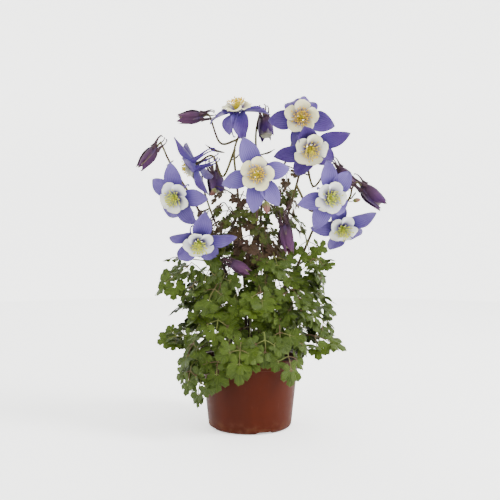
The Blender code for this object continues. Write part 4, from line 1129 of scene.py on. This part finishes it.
class StageSettings(bpy.types.PropertyGroup):
    """Floor, light and camera"""

    floor: colour_setting("Floor", "Colour of the floor and the backdrop", (0.90, 0.90, 0.89))
    key: FloatProperty(
        name="Key light", description="Power of the main soft light", unit="POWER", default=34.0
    )
    sky: FloatProperty(name="Surround", description="Strength of the even surrounding light", default=0.62)
    camera_back: length_setting("Camera distance", "From the pot's middle", 0.75)
    camera_high: length_setting("Camera height", "Above the floor", 0.19)
    lens: FloatProperty(
        name="Lens", description="Focal length on 36 mm film", subtype="DISTANCE_CAMERA", default=53.57
    )


def once(build, name, *colours):
    """The material of that name, built the first time that it is asked for."""
    return bpy.data.materials.get(name) or build(name, *colours)


def green_materials(settings):
    """(blade, stalk) of the green leaves."""
    skin = once(leaf_material, "leaf green", tuple(settings.deep), tuple(settings.bright), *GREEN_LEAF)
    return skin, once(stem_material, "leaf stalk", *GREEN_STALK)


def bronze_materials():
    """(blade, stalk) of the bronze leaves on the flower stems."""
    skin = once(leaf_material, "bronze leaf", *BRONZE_LEAF)
    return skin, once(stem_material, "bronze stalk", *BRONZE_STALK)


def olive_materials():
    """(blade, stalk) of the olive leaves that mix with the bronze ones."""
    return once(leaf_material, "olive leaf", *OLIVE_LEAF), bronze_materials()[1]


class COLUMBINE_OT_pot(bpy.types.Operator):
    """Moulds the nursery pot, with its rolled rim, foot notches and drain holes"""

    bl_idname = "columbine.pot"
    bl_label = "Pot"

    def execute(self, context):
        settings = context.scene.columbine_pot
        require_near("pot", (0, 0, POT_HEIGHT))
        shape = lathe(pot_profile(), settings.sides, notch_rise)
        piece = make_piece("moulded_pot", [[shape]], [pot_material(settings)], "pot_plastic", "pot")
        drill_drain_holes(piece)
        return {"FINISHED"}


def drill_drain_holes(piece):
    """Cuts six round holes through the pot's floor and keeps the cut mesh."""
    cutters = []
    for turn in np.arange(DRAIN_HOLES) * 360 / DRAIN_HOLES:
        out = direction(turn, 0) * DRAIN_HOLE_OUT
        ends = np.array((out - (0, 0, 0.002), out + (0, 0, 0.006)))
        cutters.append(tube(ends, (0, 1), (DRAIN_HOLE_RADIUS, DRAIN_HOLE_RADIUS), 20, 0))
    offset = len(cutters[0][0])
    mesh = bpy.data.meshes.new("drain cutter")
    faces = [
        face for i, c in enumerate(cutters) for kind in c[1:3] for face in (kind + i * offset).tolist()
    ]
    mesh.from_pydata(np.vstack([c[0] for c in cutters]), [], faces)
    cutter = bpy.data.objects.new("drain cutter", mesh)
    bpy.context.scene.collection.objects.link(cutter)
    boolean = piece.modifiers.new("drain holes", "BOOLEAN")
    boolean.object, boolean.operation, boolean.solver = cutter, "DIFFERENCE", "EXACT"
    bpy.context.view_layer.update()
    cut = bpy.data.meshes.new_from_object(piece.evaluated_get(bpy.context.evaluated_depsgraph_get()))
    piece.modifiers.clear()
    piece.data = cut
    bpy.data.objects.remove(cutter)


class COLUMBINE_OT_compost(bpy.types.Operator):
    """Fills the pot with crumbly compost and sets the knobbly crown of the plant in it"""

    bl_idname = "columbine.compost"
    bl_label = "Compost and crown"

    def execute(self, context):
        settings = context.scene.columbine_pot
        rng = np.random.default_rng(COMPOST_SEED)
        outer = outside_radius(SOIL_EDGE) - POT_WALL - 0.0003
        waves = rng.uniform(-1, 1, (24, 2)) * 900
        phase = rng.uniform(0, 6, 24)

        def lumps(radius, height, angle):
            """Sum of small crossed waves, only on the top surface and fading to nothing at the wall."""
            x, y = radius * np.cos(angle), radius * np.sin(angle)
            swell = sum(np.sin(a * x + b * y + p) for (a, b), p in zip(waves, phase)) / 24
            return swell * 0.0032 * (height > SOIL_EDGE - 0.001) * np.clip((outer - radius) / 0.003, 0, 1)

        top = [(outer * s, SOIL_EDGE + SOIL_DOME * (1 - s * s)) for s in np.linspace(1, 0.02, 46)]
        low = FLOOR_RISE + POT_WALL + 0.0003
        foot = outside_radius(0) - POT_WALL - POT_CORNER / 2 - 0.0006
        profile = [
            (0, low), (foot * 0.5, low), (foot, low), (outside_radius(0.008) - POT_WALL - 0.0006, 0.008),
            *top
        ]
        bed = lathe([*profile, (0, top[-1][1])], 120, lumps)
        crumbs = []
        for _ in range(settings.crumbs):
            r = outer * 0.97 * math.sqrt(rng.uniform(0.05, 1))
            a = rng.uniform(0, ROUND)
            size = rng.uniform(0.0006, 0.0017)
            surface = SOIL_EDGE + SOIL_DOME * (1 - (r / outer) ** 2)
            middle = np.array((r * math.cos(a), r * math.sin(a), surface + size * 0.3))
            axis = unit(rng.uniform(-1, 1, 3)) * size
            ends = np.array((middle - axis, middle + axis))
            girth = np.array((0.5, 1.0, 0.85, 0.3)) * size * 0.8
            crumbs.append(tube(ends, (0.05, 0.4, 0.75, 0.97), girth, 5, rng.uniform(0, 1)))
        make_piece("compost", [[bed] + crumbs], [soil_material()], "soil", "potting_soil")

        def knobs(radius, height, angle):
            return 0.0010 * np.sin(7 * angle + 900 * height) * (radius > 0.003)

        ring = [
            (CROWN_RADIUS * s, SOIL_EDGE + h)
            for s, h in ((0.6, 0), (1.02, 0.0005), (1.0, 0.003), (0.85, 0.0058), (0.5, 0.0074))
        ]
        crown = [lathe([(0, SOIL_EDGE), *ring, (0, SOIL_EDGE + 0.0078)], 40, knobs)]
        for i in range(26):
            out = direction(i * GOLDEN_TURN, 0)
            lean = direction(i * GOLDEN_TURN, rng.uniform(30, 75))
            foot = out * rng.uniform(0.004, CROWN_RADIUS) + (0, 0, SOIL_EDGE + 0.001)
            ends = np.array((foot, foot + lean * rng.uniform(0.005, 0.009)))
            crown.append(tube(ends, (0, 0.5, 0.85, 1), (0.0014, 0.0016, 0.0011, 0.0003), 7, 0.3))
        bark = stem_material("crown bark", *CROWN_BARK, 0.8)
        make_piece("crown_of_leaf_bases", [crown], [bark], "crown", "root_crown")
        return {"FINISHED"}


class COLUMBINE_OT_stems(bpy.types.Operator):
    """Grows the branching flower stems, with swollen joints, bracts and a few tight young buds"""

    bl_idname = "columbine.stems"
    bl_label = "Flower stems"

    def execute(self, context):
        skin = stem_material("downy stem", *FLOWER_STEM)
        routes = stem_routes()
        for number in sorted({row[0] for row in STEMS}):
            parts = []
            for owner, path, thick, thin in routes:
                if owner == number:
                    stations = np.linspace(0, 1, STEM_RINGS)
                    girth = (thick + (thin - thick) * stations) * DOWN_SHARE
                    girth[0] *= 1.25
                    girth[-2:] *= (1.15, 1.5)
                    parts.append(tube(path, stations, girth, STEM_SIDES, 0.4))
            require_near(f"flower_stem_{number}", routes[[r[0] for r in routes].index(number)][1][-1])
            make_piece(f"branching_stem_{number}", [parts], [skin], "stem", f"flower_stem_{number}")
        bronze = bronze_materials()[0]
        rng = np.random.default_rng(BRACT_SEED)
        leaves = []
        for foot, azimuth, elevation, length, width, bank in BRACTS:
            origin, axes = facing_frame(foot, azimuth, elevation)
            own = np.array((axes[2], axes[1], -axes[0]))
            own = turned(own, own[0], bank)
            share, out, up = arc_line(length, 8, rng.uniform(10, 50), 9)
            half = width / 2 * np.interp(share, (0, 0.15, 0.45, 0.8, 1), (0.25, 0.75, 1.0, 0.55, 0.06))
            leaves.append(blade(origin, own, out, up, half, 0.35, 7, BRACT_WAVE, rng.uniform(0, 0.6)))
        make_piece("bracts", [leaves], [bronze], "leaf")
        tight = petal_material("young bud skin", *YOUNG_BUD_SKIN)
        buds, threads = [], []
        for base, azimuth, elevation, length in YOUNG_BUDS:
            facing = direction(azimuth, elevation)
            base = np.asarray(base, float)
            ends = np.array((base, base + facing * length))
            girth = np.array((0.4, 0.95, 1.0, 0.7, 0.2)) * length * 0.30
            buds.append(tube(ends, (0, 0.2, 0.5, 0.8, 1), girth, 20, 0.5, lobes=0.08))
            start = nearest_stem(base)
            middle = (start + base) / 2 + (0, 0, 0.003)
            knots = [start, middle, base - facing * 0.003, base + facing * 0.0004]
            threads.append(stalk(smooth_curve(knots, 5), 0.0006, 0.00045, 0.3))
        make_piece("young_buds", [buds, threads], [tight, skin], "bud")
        return {"FINISHED"}


class COLUMBINE_OT_leaves(bpy.types.Operator):
    """Grows every lobed leaf on its stalk, from the crown's rosette up to the small bronze stem leaves"""

    bl_idname = "columbine.leaves"
    bl_label = "Leaves"

    def execute(self, context):
        settings = context.scene.columbine_leaf
        green = green_materials(settings)
        bronze, olive = bronze_materials(), olive_materials()
        for number, foot_turn, *hub, azimuth, elevation, bank, size in BASAL_LEAVES:
            node, hub = f"basal_leaf_{number:02d}", np.array(hub) / 1000
            require_near(node, hub)
            rng = np.random.default_rng(BASAL_LEAF_SEED + number)
            knots = rosette_knots(foot_turn, hub)
            parts = leaf_parts(
                knots, hub, azimuth, elevation, bank, size, settings, rng, rng.uniform(0.1, 0.8)
            )
            make_piece(f"leaf_on_stalk_{number:02d}", parts, green, "leaf", node)
        for number, *hub, azimuth, elevation, bank, size in STEM_LEAVES:
            node, hub = f"stem_leaf_{number}", np.array(hub) / 1000
            require_near(node, hub)
            rng = np.random.default_rng(STEM_LEAF_SEED + number)
            knots = stem_knots(hub)
            parts = leaf_parts(
                knots, hub, azimuth, elevation, bank, size, settings, rng, rng.uniform(0.2, 0.8)
            )
            materials = bronze if number == BRONZE_STEM_LEAF else green
            make_piece(f"small_stem_leaf_{number}", parts, materials, "leaf", node)
        # name, table, materials, span of tones, whether it springs from the crown
        rows = (
            ("lower_leaf", LOWER_LEAVES, green, (0.1, 0.9), True),
            ("upper_leaf", UPPER_LEAVES, green, (0.0, 0.8), True),
            ("bronze_leaf", BRONZE_LEAVES[::2], bronze, (0.0, 0.9), False),
            ("olive_leaf", BRONZE_LEAVES[1::2], olive, (0.1, 1.0), False),
            ("stem_side_leaf", GREEN_STEM_LEAVES, green, (0.4, 1.0), False),
        )
        for name, table, materials, tones, basal in rows:
            for number, (*hub, azimuth, elevation, bank, size) in enumerate(table, 1):
                rng = np.random.default_rng(FILL_LEAF_SEED + 37 * number + len(name))
                hub = np.array(hub) / 1000
                if basal:
                    knots, open_share = rosette_knots(math.degrees(math.atan2(hub[0], -hub[1])), hub), 1.0
                else:
                    knots, open_share, size = stem_knots(hub), STEM_LEAF_OPENNESS, size * STEM_LEAF_GROWTH
                tone = rng.uniform(*tones)
                parts = leaf_parts(
                    knots, hub, azimuth, elevation, bank, size, settings, rng, tone, open_share
                )
                make_piece(f"{name}_{number:02d}", parts, materials, "leaf")
        return {"FINISHED"}


class COLUMBINE_OT_flowers(bpy.types.Operator):
    """Opens the spurred flowers: sepals, cupped petals with their spurs, and stamens"""

    bl_idname = "columbine.flowers"
    bl_label = "Open flowers"

    def execute(self, context):
        settings = context.scene.columbine_flower
        lavender, violet, cream = tuple(settings.lavender), tuple(settings.violet), tuple(settings.cream)
        sepal_skin = petal_material("sepal violet", lavender, violet, *SEPAL_SKIN)
        petal_skin = petal_material("petal cream", cream, *PETAL_SKIN)
        spur_skin = petal_material(
            "spur violet", SPUR_PALE, SPUR_RICH, SPUR_BASE, violet, SPUR_UNDERSIDE, 3, 0.5
        )
        anthers = stamen_material()
        for number, place, azimuth, elevation, turn, size, tone, sepals in FLOWERS:
            require_near(f"flower_{number}_sepals", place)
            rng = np.random.default_rng(FLOWER_SEED + number)
            origin, axes = facing_frame(place, azimuth, elevation, turn)
            parts = calyx(origin, axes, size, settings, tone, sepals, rng)
            make_piece(f"sepals_{number}", [parts], [sepal_skin], "sepal", f"flower_{number}_sepals")
            petals, spurs = corolla(origin, axes, size, settings, 1 - GOLD[number - 1], rng)
            make_piece(
                f"spurred_petals_{number}", [petals, spurs], [petal_skin, spur_skin], "petal",
                f"flower_{number}_petals"
            )
            tuft = stamens(origin, axes, size, settings, GOLD[number - 1], rng)
            make_piece(f"stamen_tuft_{number}", [tuft], [anthers], "stamen", f"flower_{number}_stamens")
        return {"FINISHED"}


class COLUMBINE_OT_buds(bpy.types.Operator):
    """Hangs the closed and half-open buds, each with its short hooked spurs"""

    bl_idname = "columbine.buds"
    bl_label = "Buds"

    def execute(self, context):
        settings = context.scene.columbine_flower
        skin = petal_material("bud skin", *BUD_SKIN)
        core_skin = petal_material("bud petals", *BUD_PETALS)
        for number, place, azimuth, elevation, size, opening, tone in BUDS:
            require_near(f"bud_{number}", place)
            rng = np.random.default_rng(BUD_SEED + number)
            skins, core, spurs = bud_parts(place, azimuth, elevation, size, opening, tone, settings, rng)
            make_piece(
                f"nodding_bud_{number}", [skins + spurs, core], [skin, core_skin], "bud", f"bud_{number}"
            )
        return {"FINISHED"}


class COLUMBINE_OT_stage(bpy.types.Operator):
    """Sets the pale floor, the backdrop, the soft lights and the camera"""

    bl_idname = "columbine.stage"
    bl_label = "Stage"

    def execute(self, context):
        settings = context.scene.columbine_stage
        colour = tuple(settings.floor)
        ground = plain_surface("floor paper", colour, FLOOR_GLOW)
        paper = plain_surface("backdrop paper", colour, BACKDROP_GLOW)
        floor = sheet_of_revolution("floor", [(0.0, 0.0), (0.3, 0.0), (0.8, 0.0), (1.6, 0.0)], ground)
        bend = [
            (1.6 + 0.8 * math.sin(a), 0.8 * (1 - math.cos(a))) for a in np.radians(np.linspace(0, 90, 12))
        ]
        wall = sheet_of_revolution("backdrop", [*bend, (2.4, 3.2)], paper)
        wall.visible_shadow = False
        world = bpy.data.worlds.new("even surround")
        world.use_nodes = True
        world.node_tree.nodes["Background"].inputs["Color"].default_value = (1, 1, 1, 1)
        world.node_tree.nodes["Background"].inputs["Strength"].default_value = settings.sky
        context.scene.world = world
        for name, place, aim, size, share in LAMPS:
            lamp = bpy.data.lights.new(name, "AREA")
            lamp.size, lamp.energy = size, settings.key * share
            made = bpy.data.objects.new(name, lamp)
            made.location = place
            made.rotation_euler = (Vector(aim) - Vector(place)).to_track_quat("-Z", "Y").to_euler()
            context.scene.collection.objects.link(made)
        view = bpy.data.cameras.new("camera")
        view.sensor_width, view.lens, view.clip_start = 36, settings.lens, 0.01
        camera = bpy.data.objects.new("camera", view)
        camera.location = (0, -settings.camera_back, settings.camera_high)
        camera.rotation_euler = (math.radians(CAMERA_TILT), 0, 0)
        context.scene.collection.objects.link(camera)
        context.scene.camera = camera
        return {"FINISHED"}


def sheet_of_revolution(name, profile, material):
    """An open sheet turned about Z from (radius, height) pairs."""
    profile = np.asarray(profile, float)
    angle = np.arange(STAGE_SIDES) / STAGE_SIDES * ROUND
    rings = np.stack(
        (profile[:, :1] * np.cos(angle), profile[:, :1] * np.sin(angle), profile[:, 1:] + 0 * angle), -1
    )
    mesh = bpy.data.meshes.new(name)
    mesh.from_pydata(rings.reshape(-1, 3), [], grid_quads(len(profile), STAGE_SIDES, True).tolist())
    mesh.validate()
    mesh.materials.append(material)
    mesh.shade_smooth()
    made = bpy.data.objects.new(name, mesh)
    bpy.context.scene.collection.objects.link(made)
    return made


STEPS = (
    COLUMBINE_OT_pot, COLUMBINE_OT_compost, COLUMBINE_OT_stems, COLUMBINE_OT_leaves,
    COLUMBINE_OT_flowers, COLUMBINE_OT_buds, COLUMBINE_OT_stage,
)


class COLUMBINE_PT_panel(bpy.types.Panel):
    """Lists the sizes and colours, and a button for each group of pieces"""

    bl_idname = "COLUMBINE_PT_panel"
    bl_label = "Potted columbine"
    bl_space_type = "VIEW_3D"
    bl_region_type = "UI"
    bl_category = "Columbine"

    def draw(self, context):
        for settings in SETTINGS:
            box = self.layout.box()
            group = getattr(context.scene, settings)
            for name in group.bl_rna.properties.keys():
                if name not in ("rna_type", "name"):
                    box.prop(group, name)
        for step in STEPS:
            self.layout.operator(step.bl_idname)


SETTINGS = {
    "columbine_pot": PotSettings, "columbine_leaf": LeafSettings,
    "columbine_flower": FlowerSettings, "columbine_stage": StageSettings,
}


def register():
    """Adds the settings, operators and panel."""
    for group in SETTINGS.values():
        bpy.utils.register_class(group)
    for step in (*STEPS, COLUMBINE_PT_panel):
        bpy.utils.register_class(step)
    for name, group in SETTINGS.items():
        setattr(bpy.types.Scene, name, PointerProperty(type=group))


def unregister():
    """Takes them away again."""
    for name in SETTINGS:
        delattr(bpy.types.Scene, name)
    for step in reversed((*STEPS, COLUMBINE_PT_panel)):
        bpy.utils.unregister_class(step)
    for group in reversed(list(SETTINGS.values())):
        bpy.utils.unregister_class(group)


def main():
    """Builds everything with the operators."""
    register()
    for step in STEPS:
        group, name = step.bl_idname.split(".")
        getattr(getattr(bpy.ops, group), name)()
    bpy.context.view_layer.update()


if __name__ == "__main__":
    main()
